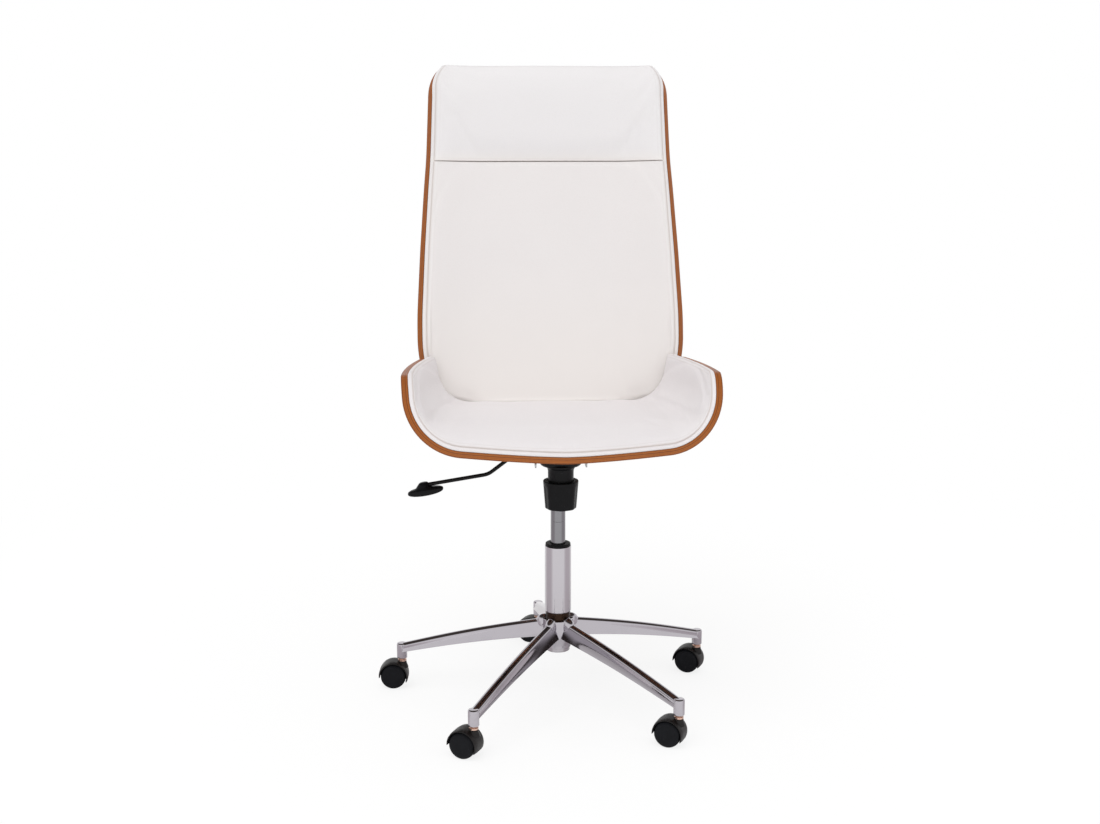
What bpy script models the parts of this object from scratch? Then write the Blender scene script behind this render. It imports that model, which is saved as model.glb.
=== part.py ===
"""High-back office chair: two bent plywood shells with leather pads, a tilting
seat mechanism on a gas lift, and a five-leg steel base on twin-wheel casters.

Metres, +Z up. The origin is on the floor under the gas lift, and the chair faces -Y.
"""
import math

import bmesh
import bpy
import numpy as np
from mathutils import Matrix, Vector

# Fits
GAP = 0.0003                # air left between two pieces that touch
RUN = 0.0004                # running clearance of a turning or sliding piece

# Five-leg base
LEGS = 5
FIRST_LEG_DEG = 22.0
STEM_CIRCLE_R = 0.311       # from the gas lift to each caster stem
HUB_R = 0.029
HUB_BOTTOM = 0.106
HUB_TOP = 0.162
LEG_ROOT_TOP = 0.160
LEG_ROOT_DEPTH = 0.031
LEG_ROOT_TOP_W = 0.015
LEG_ROOT_FOOT_W = 0.033
LEG_TIP_DEPTH = 0.019
LEG_TIP_TOP_W = 0.013
LEG_TIP_FOOT_W = 0.019
LEG_WALL = 0.0022
LEG_ARCH = 0.0040           # height of a leg's gentle arch over a straight line
LEG_CROWN = 0.55            # roundness over the top of a leg's section
SOCKET_R = 0.0105
SOCKET_TOP = 0.092
SOCKET_BOTTOM = 0.057
SOCKET_BORE_TOP = 0.088
SOCKET_PROUD = 0.0004       # of a socket above the leg's tip

# Casters
WHEEL_R = 0.025
WHEEL_W = 0.0150
WHEEL_IN = 0.0048           # from the caster's middle plane to a wheel's inner face
WHEEL_SIDES = 20
WHEEL_SKIN = 0.0022         # outer face of a wheel, over the end of its axle
WHEEL_EDGE = 0.0030
TRAIL = 0.017
# The way each caster trails, from leg 1 round to leg 5
TRAIL_DEG = [153.5, 153.5, 176.5, 153.5, 153.5]
HOOD_WALL = 0.0032
HOOD_HALF_W = 0.0180
HOOD_WEB = 0.0076
HOOD_WEB_R = 0.009          # of the web round the axle
HOOD_BOSS_R = 0.0088
HOOD_BOSS_TOP = 0.0528
HOOD_FROM_DEG = -24.0
HOOD_TO_DEG = 184.0
AXLE_R = 0.0030
STEM_R = 0.0055
STEM_COLLAR_R = 0.0085
STEM_COLLAR_H = 0.0030
STEM_TOP = 0.084
STEM_PIN_R = 0.0029         # thin lower end, held in the hood's web
STEM_FOOT = 0.036

# Gas lift
COLUMN_R = 0.025
COLUMN_WALL = 0.0020
COLUMN_TOP = 0.306
COLUMN_SHOULDER = 0.177     # where the column narrows into its taper
TAPER_TOP_R = 0.0238
TAPER_FOOT_R = 0.0226
COLUMN_FOOT = 0.099
COLUMN_FLOOR = 0.006
BUSH_FOOT = 0.226
BUSH_LIP_H = 0.0050
BUSH_LIP_R = 0.0238
CYLINDER_R = 0.014
CYLINDER_WALL = 0.0025
CYLINDER_FOOT = 0.218
CYLINDER_TOP = 0.484
CYLINDER_SEAL_H = 0.009
CYLINDER_TAPER_H = 0.040
CYLINDER_TOP_R = 0.0132
ROD_R = 0.005
ROD_FOOT = 0.0925
PISTON_R = 0.0110
PISTON_H = 0.008
PISTON_TOP = 0.245
BEARING_R = 0.012
BEARING_H = 0.0045
CLIP_R = 0.009
CLIP_H = 0.0016
VALVE_R = 0.004
VALVE_UP = 0.0070
VALVE_DEPTH = 0.0060

# Tilt mechanism
TILT_REST_DEG = 3.0         # the seat plate's own slope, rear down
PLATE_Z = 0.5167            # top of the seat plate above the gas lift
PLATE_T = 0.0030
PLATE_W = 0.190
PLATE_FRONT = -0.095
PLATE_REAR = 0.095
EAR_X = 0.0463
EAR_T = 0.0025
EAR_FOOT = 0.4855
EAR_FRONT = -0.092
EAR_REAR = -0.0205
PIVOT_Y = -0.035
PIVOT_Z = 0.497
PIVOT_R = 0.005
PULL_Y = -0.075
PULL_R = 0.004
PIN_HEAD_R = 0.0075
PIN_HEAD_T = 0.0025
TRAY_W = 0.078
TRAY_WALL = 0.0025
TRAY_FOOT = 0.476
TRAY_FRONT = -0.112
TRAY_REAR = 0.058
TRAY_LOW = 0.4875           # wall height under the pull pin
TRAY_HIGH = 0.507           # wall height at the pivot
TRAY_REAR_TOP = 0.4865
SOCKET_WALL = 0.0042
LIFT_SOCKET_FOOT = 0.449
LIFT_SOCKET_TOP = 0.4835

# Tension spring, its tube and its knob
TUBE_R = 0.0235
TUBE_WALL = 0.0020
TUBE_FOOT = 0.432
BOLT_R = 0.004
BOLT_FOOT = 0.4025
EYE_R = 0.0088
EYE_W = 0.012
EYE_PLAY = 0.0016           # slack of the eye round the pull pin
KNOB_TOP = 0.4512
KNOB_FOOT = 0.3995
KNOB_TOP_R = 0.0325
KNOB_FOOT_R = 0.0285
KNOB_FLOOR = 0.0110
KNOB_FLUTES = 8
KNOB_FLUTE_R = 0.0070
KNOB_FLUTE_DEPTH = 0.0022
WASHER_T = 0.0025
SPRING_R = 0.0170
SPRING_WIRE_R = 0.0021
SPRING_TURNS = 5.0

# Height and tilt-lock lever
LEVER_Y = -0.012
LEVER_Z = 0.4985
LEVER_R = 0.0036
LEVER_BEND_X = -0.066
LEVER_LOW = (-0.131, 0.4492)
LEVER_END = (-0.248, 0.4305)
LEVER_BEND_SPAN = 0.010     # length that each bend of the rod is rounded over
LEVER_IN = -0.010
ROCKER_IN = 0.006
ROCKER_H = 0.0100
ROCKER_W = 0.0105
ROCKER_OUT = -0.0345
PADDLE_L = 0.066
PADDLE_W = 0.030
PADDLE_T = 0.011
PADDLE_X = -0.248
PADDLE_Z = 0.4145
PADDLE_SLOPE = 0.14
PADDLE_BELLY = 0.45         # share of the full thickness that its underside keeps
PADDLE_BOSS_FOOT_R = 0.0085
PADDLE_BOSS_TOP_R = 0.0062
PADDLE_BOSS_DOWN = 0.016    # from the rod's end down to the boss's foot
PADDLE_BOSS_UP = 0.006

# Seat shell
PLY = 0.012
SEAT_FRONT = -0.265
SEAT_TOP = 0.5288           # top of the ply above the gas lift
SEAT_LIP_FROM = -0.150      # where the front lip starts to fall away
SEAT_LIP_FALL = 0.35
SEAT_REAR = 0.186
SEAT_REAR_WING = 0.030      # how much further back the wings reach than the middle
REAR_SWEEP_FROM = 0.55      # share of the half width where the rear edge starts to sweep back
REAR_SWEEP_TO = 0.80
FLAT_HALF_FRONT = 0.180
FLAT_HALF_REAR = 0.146
WING_FRONT = -0.088
WING_REAR = 0.200
BEND_R = 0.0915
BEND_DEG = 85.0
WING_RISE = 0.036
WING_CORNER_R = 0.034
FRONT_POWER = 1.5           # how soon the front edge draws back towards the wings

# Back shell
BACK_Y = 0.240              # front of the back ply where its lower bend ends
FOOT_FRONT = 0.108
FOOT_BEND_R = 0.050
LEAN_LOW_DEG = 12.0
LEAN_TOP_DEG = 5.0
LEAN_FROM = 0.100           # length of straight back above the foot bend
BACK_TOP = 1.198
BACK_FLAT_HALF = 0.120
BACK_BEND_R = 0.185
FOOT_HALF = 0.095
FOOT_FLARE_FROM = 0.35      # share of the way to the outline's foot where the narrow foot starts to widen
BACK_BEND_MOST = 0.95       # share of its bend radius that a side of the back may reach
BACK_CORNER_R = 0.060
# Half width of the back against height, measured at its outer edges
BACK_OUTLINE = [(0.560, 0.228), (0.600, 0.250), (0.640, 0.2565), (0.704, 0.2565),
                (0.830, 0.2500), (0.956, 0.2415), (1.016, 0.2365), (1.198, 0.2290)]

# Pads
PAD_EDGE = 0.0090           # height of the pads' sewn border
SEAT_PAD = 0.030
SEAT_PAD_WING = 0.022
SEAT_PAD_INSET = 0.0015
BACK_PAD = 0.038
BACK_PAD_INSET = 0.0060
BACK_PAD_FOOT = 0.528
HEAD_PAD_H = 0.188          # from the top of the back down to the seam under the headrest
HEAD_PAD = 0.046
HEAD_PAD_OVER = 0.0055      # what the headrest pad stands above the ply
PAD_CLEAR = 0.0012          # between two pads that press on each other
BED_PLAY = 0.0008           # more air under the back pad, where its facets cross the ply's
WING_THIN_BY = 0.85         # share of the half width where the seat pad is down to its wing thickness
REAR_FULL_FROM = 0.60       # behind this, the seat pad keeps its thickness up to the back pad

# Fasteners
BOLT_SHANK_R = 0.0030
BOLT_HEAD_R = 0.0062
BOLT_HEAD_H = 0.0040
BOLT_BITE = 0.0080
PLATE_BOLT_X = 0.075
PLATE_BOLT_Y = 0.075
BACK_BOLT_X = 0.055
BACK_BOLT_Y = 0.150

SLOPE = math.tan(math.radians(TILT_REST_DEG))
LEVEL = math.cos(math.radians(TILT_REST_DEG))
WHEEL_Z = WHEEL_R * math.cos(math.pi / WHEEL_SIDES)     # a flat of the wheel meets the floor
PLAIN = 12                  # sides of a small round piece
ROUND = 24                  # sides of a larger round piece


def clear_scene():
    for obj in list(bpy.data.objects):
        bpy.data.objects.remove(obj, do_unlink=True)


def new_collection(name):
    collection = bpy.data.collections.new(name)
    bpy.context.scene.collection.children.link(collection)
    return collection


clear_scene()
CHAIR = new_collection("office_chair")
CUTTERS = new_collection("cutters")


def material(name, colour, roughness, metallic=0.0):
    mat = bpy.data.materials.new(name)
    mat.use_nodes = True
    shader = mat.node_tree.nodes["Principled BSDF"]
    shader.inputs["Base Color"].default_value = (*colour, 1.0)
    shader.inputs["Roughness"].default_value = roughness
    shader.inputs["Metallic"].default_value = metallic
    mat.diffuse_color = (*colour, 1.0)
    return mat


WALNUT = material("walnut_ply", (0.42, 0.18, 0.06), 0.35)
LEATHER = material("white_leather", (0.86, 0.83, 0.82), 0.45)
CHROME = material("chrome", (0.72, 0.71, 0.74), 0.08, 1.0)
STEEL = material("bright_steel", (0.55, 0.55, 0.57), 0.30, 1.0)
BLACK_STEEL = material("black_steel", (0.02, 0.02, 0.022), 0.45, 0.4)
BLACK_PLASTIC = material("black_plastic", (0.018, 0.018, 0.020), 0.45)
SPRING_STEEL = material("spring_steel", (0.20, 0.20, 0.21), 0.35, 1.0)


def own_material(obj, source):
    """Give one piece its own copy of a finish."""
    mat = source.copy()
    mat.name = obj.name + "_finish"
    obj.data.materials.append(mat)


def add_mesh(name, bm, source, smooth_deg=35.0):
    mesh = bpy.data.meshes.new(name)
    bm.to_mesh(mesh)
    bm.free()
    mesh.shade_smooth()
    mesh.set_sharp_from_angle(angle=math.radians(smooth_deg))
    obj = bpy.data.objects.new(name, mesh)
    CHAIR.objects.link(obj)
    own_material(obj, source)
    return obj


def make_cutter(obj):
    CHAIR.objects.unlink(obj)
    CUTTERS.objects.link(obj)
    obj.hide_render = True
    obj.display_type = "WIRE"
    return obj


def boolean(obj, other, operation):
    """Join or cut a piece with another solid, and keep the other as a guide."""
    if CHAIR.objects.get(other.name):
        make_cutter(other)
    mod = obj.modifiers.new(operation.lower() + "_" + other.name, "BOOLEAN")
    mod.operation = operation
    mod.object = other
    mod.solver = "EXACT"
    return obj


def cylinder(name, radius, low, high, centre=(0.0, 0.0), axis="Z", source=STEEL,
             sides=PLAIN, top_radius=None):
    """Plain cylinder or cone from low to high along an axis through centre."""
    bm = bmesh.new()
    bmesh.ops.create_cone(
        bm, cap_ends=True, segments=sides, radius1=radius,
        radius2=radius if top_radius is None else top_radius, depth=high - low)
    bmesh.ops.rotate(bm, verts=bm.verts, matrix=Matrix.Rotation(math.pi / sides, 3, "Z"))
    turn = {"Z": Matrix.Identity(3), "X": Matrix.Rotation(math.pi / 2, 3, "Y"),
            "Y": Matrix.Rotation(-math.pi / 2, 3, "X")}[axis]
    bmesh.ops.rotate(bm, verts=bm.verts, matrix=turn)
    middle = (low + high) / 2
    place = {"Z": (centre[0], centre[1], middle), "X": (middle, centre[0], centre[1]),
             "Y": (centre[0], middle, centre[1])}[axis]
    bmesh.ops.translate(bm, verts=bm.verts, vec=place)
    return add_mesh(name, bm, source)


def box(name, low, high, source=STEEL):
    bm = bmesh.new()
    bmesh.ops.create_cube(bm, size=1.0)
    size = [b - a for a, b in zip(low, high)]
    bmesh.ops.scale(bm, verts=bm.verts, vec=size)
    bmesh.ops.translate(bm, verts=bm.verts, vec=[(a + b) / 2 for a, b in zip(low, high)])
    return add_mesh(name, bm, source)


def turned(name, profile, source, sides=ROUND, closed=False):
    """Solid of revolution about Z: radius and height pairs, from the top down outside."""
    bm = bmesh.new()
    verts = [bm.verts.new((r, 0.0, z)) for r, z in profile]
    for a, b in zip(verts, verts[1:]):
        bm.edges.new((a, b))
    if closed:
        bm.edges.new((verts[-1], verts[0]))
    obj = add_mesh(name, bm, source)
    screw = obj.modifiers.new("turn", "SCREW")
    screw.steps = sides
    screw.render_steps = sides
    screw.use_merge_vertices = True
    screw.merge_threshold = 0.00001
    screw.use_smooth_shade = True
    return obj


def prism(name, outline, thickness, source, plane="YZ", offset=0.0):
    """Flat outline of corner points, filled and extruded evenly about its plane."""
    data = bpy.data.curves.new(name, "CURVE")
    data.dimensions = "2D"
    data.fill_mode = "BOTH"
    data.extrude = thickness / 2
    spline = data.splines.new("POLY")
    spline.points.add(len(outline) - 1)
    for point, (a, b) in zip(spline.points, outline):
        point.co = (a, b, 0.0, 1.0)
    spline.use_cyclic_u = True
    guide = bpy.data.objects.new(name + "_outline", data)
    CHAIR.objects.link(guide)
    if plane == "YZ":
        basis = Matrix(((0, 0, 1), (1, 0, 0), (0, 1, 0)))
        guide.matrix_world = Matrix.Translation((offset, 0, 0)) @ basis.to_4x4()
    else:
        basis = Matrix(((1, 0, 0), (0, 0, -1), (0, 1, 0)))
        guide.matrix_world = Matrix.Translation((0, offset, 0)) @ basis.to_4x4()
    return from_curve(guide, name, source)


def from_curve(guide, name, source):
    """Turn a curve object into a welded mesh piece in the same place."""
    bpy.context.view_layer.update()
    evaluated = guide.evaluated_get(bpy.context.evaluated_depsgraph_get())
    mesh = bpy.data.meshes.new_from_object(evaluated)
    mesh.transform(guide.matrix_world)
    bm = bmesh.new()
    bm.from_mesh(mesh)
    bmesh.ops.remove_doubles(bm, verts=bm.verts, dist=0.00001)
    bmesh.ops.recalc_face_normals(bm, faces=bm.faces)
    bpy.data.meshes.remove(mesh)
    bpy.data.objects.remove(guide, do_unlink=True)
    return add_mesh(name, bm, source)


def wire(name, points, radius, source, resolution=2):
    """Round bar along a run of points."""
    data = bpy.data.curves.new(name, "CURVE")
    data.dimensions = "3D"
    data.bevel_depth = radius
    data.bevel_resolution = resolution
    data.use_fill_caps = True
    spline = data.splines.new("POLY")
    spline.points.add(len(points) - 1)
    for point, co in zip(spline.points, points):
        point.co = (*co, 1.0)
    guide = bpy.data.objects.new(name + "_path", data)
    CHAIR.objects.link(guide)
    return from_curve(guide, name, source)


def sheet_solid(name, across, along, place, source, crease=None):
    """Closed solid between two sheets: place(u, v, w) gives a point for u across, v
    along and w = 0 on the underside or 1 on the top, each from -1, 0 or 1."""
    bm = bmesh.new()
    bmesh.ops.create_grid(bm, x_segments=across, y_segments=along, size=1.0)
    under = list(bm.verts)
    made = bmesh.ops.extrude_face_region(bm, geom=list(bm.faces), use_keep_orig=True)
    upper = [item for item in made["geom"] if isinstance(item, bmesh.types.BMVert)]
    if crease is not None:
        layer = bm.edges.layers.float.new("crease_edge")
        for edge in bm.edges:
            a, b = (vert.co for vert in edge.verts)
            for axis in (0, 1):
                if abs(abs(a[axis]) - 1) < 1e-6 and abs(a[axis] - b[axis]) < 1e-6:
                    edge[layer] = crease
    for w, verts in ((0.0, under), (1.0, upper)):
        for vert in verts:
            vert.co = Vector(place(vert.co.x, vert.co.y, w))
    bmesh.ops.recalc_face_normals(bm, faces=bm.faces)
    return add_mesh(name, bm, source)


def subdivide(obj, levels=1):
    mod = obj.modifiers.new("soften", "SUBSURF")
    mod.levels = levels
    mod.render_levels = levels
    return obj


def hang_on(pivot_name, point, names):
    """Parent pieces to an empty that stands on the axis they turn about."""
    pivot = bpy.data.objects.new(pivot_name, None)
    pivot.location = point
    pivot.empty_display_size = 0.05
    CHAIR.objects.link(pivot)
    for name in names:
        piece = CHAIR.objects[name]
        piece.parent = pivot
        piece.matrix_parent_inverse = Matrix.Translation(-Vector(point))


def set_origin(obj, point):
    """Move a piece's origin to a point of its joint's axis, and leave its shape."""
    obj.data.transform(Matrix.Translation(-Vector(point)))
    return put_at(obj, point)


def put_at(obj, point):
    """Put a piece that is drawn about the world origin at a point."""
    obj.location = point
    return obj


def leg_angle(index):
    return math.radians(FIRST_LEG_DEG + 360.0 / LEGS * index)


# Base

def make_hub():
    bore_top = TAPER_TOP_R + GAP
    bore_foot = TAPER_FOOT_R + GAP
    grow = (bore_top - bore_foot) / (COLUMN_SHOULDER - COLUMN_FOOT)
    r_top = bore_foot + grow * (HUB_TOP - COLUMN_FOOT)
    r_low = bore_foot + grow * (HUB_BOTTOM - COLUMN_FOOT)
    edge = 0.0015
    profile = [(r_top, HUB_TOP), (HUB_R - edge, HUB_TOP), (HUB_R, HUB_TOP - edge),
               (HUB_R, HUB_BOTTOM + edge), (HUB_R - edge, HUB_BOTTOM), (r_low, HUB_BOTTOM)]
    return turned("base_hub", profile, CHROME, ROUND, closed=True)


def leg_section(share):
    """Open channel section, rounded over the top, for a share of the way to the tip."""
    top_w = LEG_ROOT_TOP_W + (LEG_TIP_TOP_W - LEG_ROOT_TOP_W) * share
    foot_w = LEG_ROOT_FOOT_W + (LEG_TIP_FOOT_W - LEG_ROOT_FOOT_W) * share
    depth = LEG_ROOT_DEPTH + (LEG_TIP_DEPTH - LEG_ROOT_DEPTH) * share
    half = top_w / 2
    arc = [(half * math.sin(a), -half * LEG_CROWN * (1 - math.cos(a)))
           for a in np.radians([0.0, 30.0, 60.0, 80.0])]
    side = arc + [(foot_w / 2, -depth)]
    return [(-x, z) for x, z in reversed(side[1:])] + side


def make_leg():
    """Pressed steel channel from the hub to the socket, drawn along +X."""
    start = HUB_R + GAP
    end = STEM_CIRCLE_R
    stations = 7
    bm = bmesh.new()
    rows = []
    for i in range(stations):
        share = i / (stations - 1)
        x = start + (end - start) * share
        top = LEG_ROOT_TOP + (SOCKET_TOP - LEG_ROOT_TOP) * share
        top += LEG_ARCH * math.sin(math.pi * share)
        rows.append([bm.verts.new((x, y, top + z)) for y, z in leg_section(share)])
    for a, b in zip(rows, rows[1:]):
        for i in range(len(a) - 1):
            bm.faces.new((a[i], b[i], b[i + 1], a[i + 1]))
    bmesh.ops.recalc_face_normals(bm, faces=bm.faces)
    leg = add_mesh("base_leg_1", bm, CHROME)
    wall = leg.modifiers.new("wall", "SOLIDIFY")
    wall.thickness = LEG_WALL
    wall.offset = 0.0
    wall.use_even_offset = True
    centre = (STEM_CIRCLE_R, 0.0)
    tip = cylinder("leg_socket", SOCKET_R, SOCKET_BOTTOM, SOCKET_TOP + SOCKET_PROUD, centre, sides=ROUND)
    boolean(leg, tip, "UNION")
    bore = cylinder("leg_socket_bore", STEM_R + GAP, SOCKET_BOTTOM - 0.01, SOCKET_BORE_TOP,
                    centre, sides=PLAIN)
    boolean(leg, bore, "DIFFERENCE")
    hub_space = cylinder("leg_root_cut", HUB_R + GAP, HUB_BOTTOM - 0.02, HUB_TOP + 0.02, sides=ROUND)
    boolean(leg, hub_space, "DIFFERENCE")
    return leg


def bake(obj):
    """Apply a piece's modifiers, so that its copies can share the result."""
    bpy.context.view_layer.update()
    evaluated = obj.evaluated_get(bpy.context.evaluated_depsgraph_get())
    mesh = bpy.data.meshes.new_from_object(evaluated)
    mesh.name = obj.data.name
    obj.modifiers.clear()
    obj.data = mesh
    return obj


def copy_piece(obj, name, matrix):
    twin = bpy.data.objects.new(name, obj.data)
    twin.matrix_world = matrix
    CHAIR.objects.link(twin)
    return twin


def make_base():
    make_hub()
    leg = bake(make_leg())
    for i in range(1, LEGS):
        copy_piece(leg, f"base_leg_{i + 1}", Matrix.Rotation(leg_angle(i), 4, "Z"))
    leg.matrix_world = Matrix.Rotation(leg_angle(0), 4, "Z")


# Casters, drawn with the stem on Z and the wheels trailing along -X

def make_stem():
    collar_top = SOCKET_BOTTOM - GAP
    collar_foot = collar_top - STEM_COLLAR_H
    tip = 0.0015
    profile = [(0.0, STEM_TOP), (STEM_R - tip, STEM_TOP), (STEM_R, STEM_TOP - tip),
               (STEM_R, collar_top), (STEM_COLLAR_R, collar_top),
               (STEM_COLLAR_R, collar_foot), (STEM_PIN_R, collar_foot),
               (STEM_PIN_R, STEM_FOOT), (0.0, STEM_FOOT)]
    return turned("caster_stem", profile, STEEL, PLAIN)


def arc_points(radius, from_deg, to_deg, count, centre):
    angles = np.radians(np.linspace(from_deg, to_deg, count))
    return [(centre[0] + radius * math.cos(a), centre[1] + radius * math.sin(a)) for a in angles]


def make_hood():
    """Arched cover over both wheels, with the web that holds the axle and the stem."""
    axle = (-TRAIL, WHEEL_Z)
    inner = WHEEL_R + 2 * RUN
    outer = inner + HOOD_WALL
    mid = inner + HOOD_WALL / 2
    cover = arc_points(outer, HOOD_FROM_DEG, HOOD_TO_DEG, 12, axle)
    cover += arc_points(inner, HOOD_TO_DEG, HOOD_FROM_DEG, 12, axle)
    hood = prism("caster_hood", cover, 2 * HOOD_HALF_W, BLACK_PLASTIC, "XZ")
    web = arc_points(mid, HOOD_FROM_DEG + 4.0, HOOD_TO_DEG - 4.0, 11, axle)
    web += arc_points(HOOD_WEB_R, HOOD_TO_DEG + 60.0, 360.0 + HOOD_FROM_DEG - 20.0, 4, axle)
    boolean(hood, prism("hood_web", web, HOOD_WEB, BLACK_PLASTIC, "XZ"), "UNION")
    boss = cylinder("hood_boss", HOOD_BOSS_R, STEM_FOOT, HOOD_BOSS_TOP, sides=PLAIN)
    under = cylinder("hood_boss_cut", mid, -2 * HOOD_HALF_W, 2 * HOOD_HALF_W, axle, "Y", sides=ROUND)
    boolean(boss, under, "DIFFERENCE")
    boolean(hood, bake(boss), "UNION")
    hole = cylinder("hood_axle_hole", AXLE_R + GAP, -0.02, 0.02, axle, "Y")
    boolean(hood, hole, "DIFFERENCE")
    stem_hole = cylinder("hood_stem_hole", STEM_PIN_R + GAP, STEM_FOOT - GAP, HOOD_BOSS_TOP + 0.02)
    boolean(hood, stem_hole, "DIFFERENCE")
    return hood


def make_wheel():
    """Moulded wheel, drawn about Z with its outer face up."""
    face = WHEEL_IN + WHEEL_W
    bore = AXLE_R + RUN
    bore_end = face - WHEEL_SKIN
    profile = [(0.0, face), (WHEEL_R - WHEEL_EDGE, face), (WHEEL_R, face - WHEEL_EDGE),
               (WHEEL_R, WHEEL_IN),
               (bore, WHEEL_IN), (bore, bore_end), (0.0, bore_end)]
    wheel = bake(turned("caster_wheel", profile, BLACK_PLASTIC, WHEEL_SIDES))
    wheel.data.transform(Matrix.Rotation(math.pi / WHEEL_SIDES, 4, "Z"))
    return wheel


def make_casters():
    stem = bake(make_stem())
    hood = bake(make_hood())
    wheel = make_wheel()
    half = WHEEL_IN + WHEEL_W - WHEEL_SKIN - GAP
    axle = cylinder("caster_axle", AXLE_R, -half, half, (0.0, 0.0), "Y", STEEL)
    for i in range(LEGS):
        n = i + 1
        at = Matrix.Translation((STEM_CIRCLE_R * math.cos(leg_angle(i)),
                                 STEM_CIRCLE_R * math.sin(leg_angle(i)), 0.0))
        frame = at @ Matrix.Rotation(math.radians(TRAIL_DEG[i] + 180.0), 4, "Z")
        hub = frame @ Matrix.Translation((-TRAIL, 0.0, WHEEL_Z))
        copy_piece(stem, f"caster_stem_{n}", frame)
        copy_piece(hood, f"caster_hood_{n}", frame)
        copy_piece(axle, f"caster_axle_{n}", hub)
        left = hub @ Matrix.Rotation(-math.pi / 2, 4, "X")
        right = hub @ Matrix.Rotation(math.pi / 2, 4, "X")
        copy_piece(wheel, f"wheel_{n}_left", left)
        copy_piece(wheel, f"wheel_{n}_right", right)
    for obj in (stem, hood, wheel, axle):
        bpy.data.objects.remove(obj, do_unlink=True)


# Gas lift

def make_column():
    bore = COLUMN_R - COLUMN_WALL
    floor = COLUMN_FOOT + COLUMN_FLOOR
    profile = [(bore, COLUMN_TOP), (COLUMN_R, COLUMN_TOP), (COLUMN_R, COLUMN_SHOULDER + 0.0012),
               (TAPER_TOP_R, COLUMN_SHOULDER), (TAPER_FOOT_R, COLUMN_FOOT),
               (ROD_R + RUN, COLUMN_FOOT), (ROD_R + RUN, floor),
               (TAPER_FOOT_R - COLUMN_WALL, floor), (TAPER_TOP_R - COLUMN_WALL, COLUMN_SHOULDER),
               (bore, COLUMN_SHOULDER + 0.004)]
    turned("column_tube", profile, CHROME, ROUND, closed=True)
    sleeve = bore - GAP
    bush = [(CYLINDER_R + RUN, COLUMN_TOP + BUSH_LIP_H), (BUSH_LIP_R - 0.0012, COLUMN_TOP + BUSH_LIP_H),
            (BUSH_LIP_R, COLUMN_TOP + BUSH_LIP_H - 0.0012), (BUSH_LIP_R, COLUMN_TOP + GAP),
            (sleeve, COLUMN_TOP + GAP), (sleeve, BUSH_FOOT), (CYLINDER_R + RUN, BUSH_FOOT)]
    turned("column_bush", bush, BLACK_PLASTIC, ROUND, closed=True)
    race = floor + GAP
    bearing = [(ROD_R + RUN, race + BEARING_H), (BEARING_R, race + BEARING_H),
               (BEARING_R, race), (ROD_R + RUN, race)]
    turned("thrust_bearing", bearing, STEEL, PLAIN, closed=True)
    clip_top = COLUMN_FOOT - GAP
    neck = ROD_R - 0.0012
    clip = [(neck + GAP, clip_top), (CLIP_R, clip_top), (CLIP_R, clip_top - CLIP_H),
            (neck + GAP, clip_top - CLIP_H)]
    turned("rod_clip", clip, STEEL, PLAIN, closed=True)
    rod = [(0.0, PISTON_TOP), (PISTON_R, PISTON_TOP), (PISTON_R, PISTON_TOP - PISTON_H),
           (ROD_R, PISTON_TOP - PISTON_H), (ROD_R, clip_top + GAP / 2), (neck, clip_top + GAP / 2),
           (neck, clip_top - CLIP_H - GAP), (ROD_R, clip_top - CLIP_H - GAP),
           (ROD_R, ROD_FOOT), (0.0, ROD_FOOT)]
    turned("piston_rod", rod, STEEL, PLAIN)


def make_cylinder():
    """Gas cylinder with its tapered head, its seal and the bore of its valve."""
    bore = CYLINDER_R - CYLINDER_WALL
    head = CYLINDER_TOP - CYLINDER_TAPER_H
    valve_bore = VALVE_R + RUN
    pin_floor = CYLINDER_TOP - VALVE_DEPTH - 0.004
    profile = [(0.0, pin_floor), (valve_bore, pin_floor), (valve_bore, CYLINDER_TOP),
               (CYLINDER_TOP_R, CYLINDER_TOP), (CYLINDER_R, head), (CYLINDER_R, CYLINDER_FOOT),
               (ROD_R + RUN, CYLINDER_FOOT), (ROD_R + RUN, CYLINDER_FOOT + CYLINDER_SEAL_H),
               (bore, CYLINDER_FOOT + CYLINDER_SEAL_H), (bore, head), (0.0, head)]
    turned("gas_cylinder", profile, CHROME, ROUND)
    valve_foot = CYLINDER_TOP - VALVE_DEPTH
    valve = [(0.0, CYLINDER_TOP + VALVE_UP), (VALVE_R - 0.001, CYLINDER_TOP + VALVE_UP),
             (VALVE_R, CYLINDER_TOP + VALVE_UP - 0.001), (VALVE_R, valve_foot), (0.0, valve_foot)]
    turned("valve_button", valve, STEEL, PLAIN)


# Tilt mechanism

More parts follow.
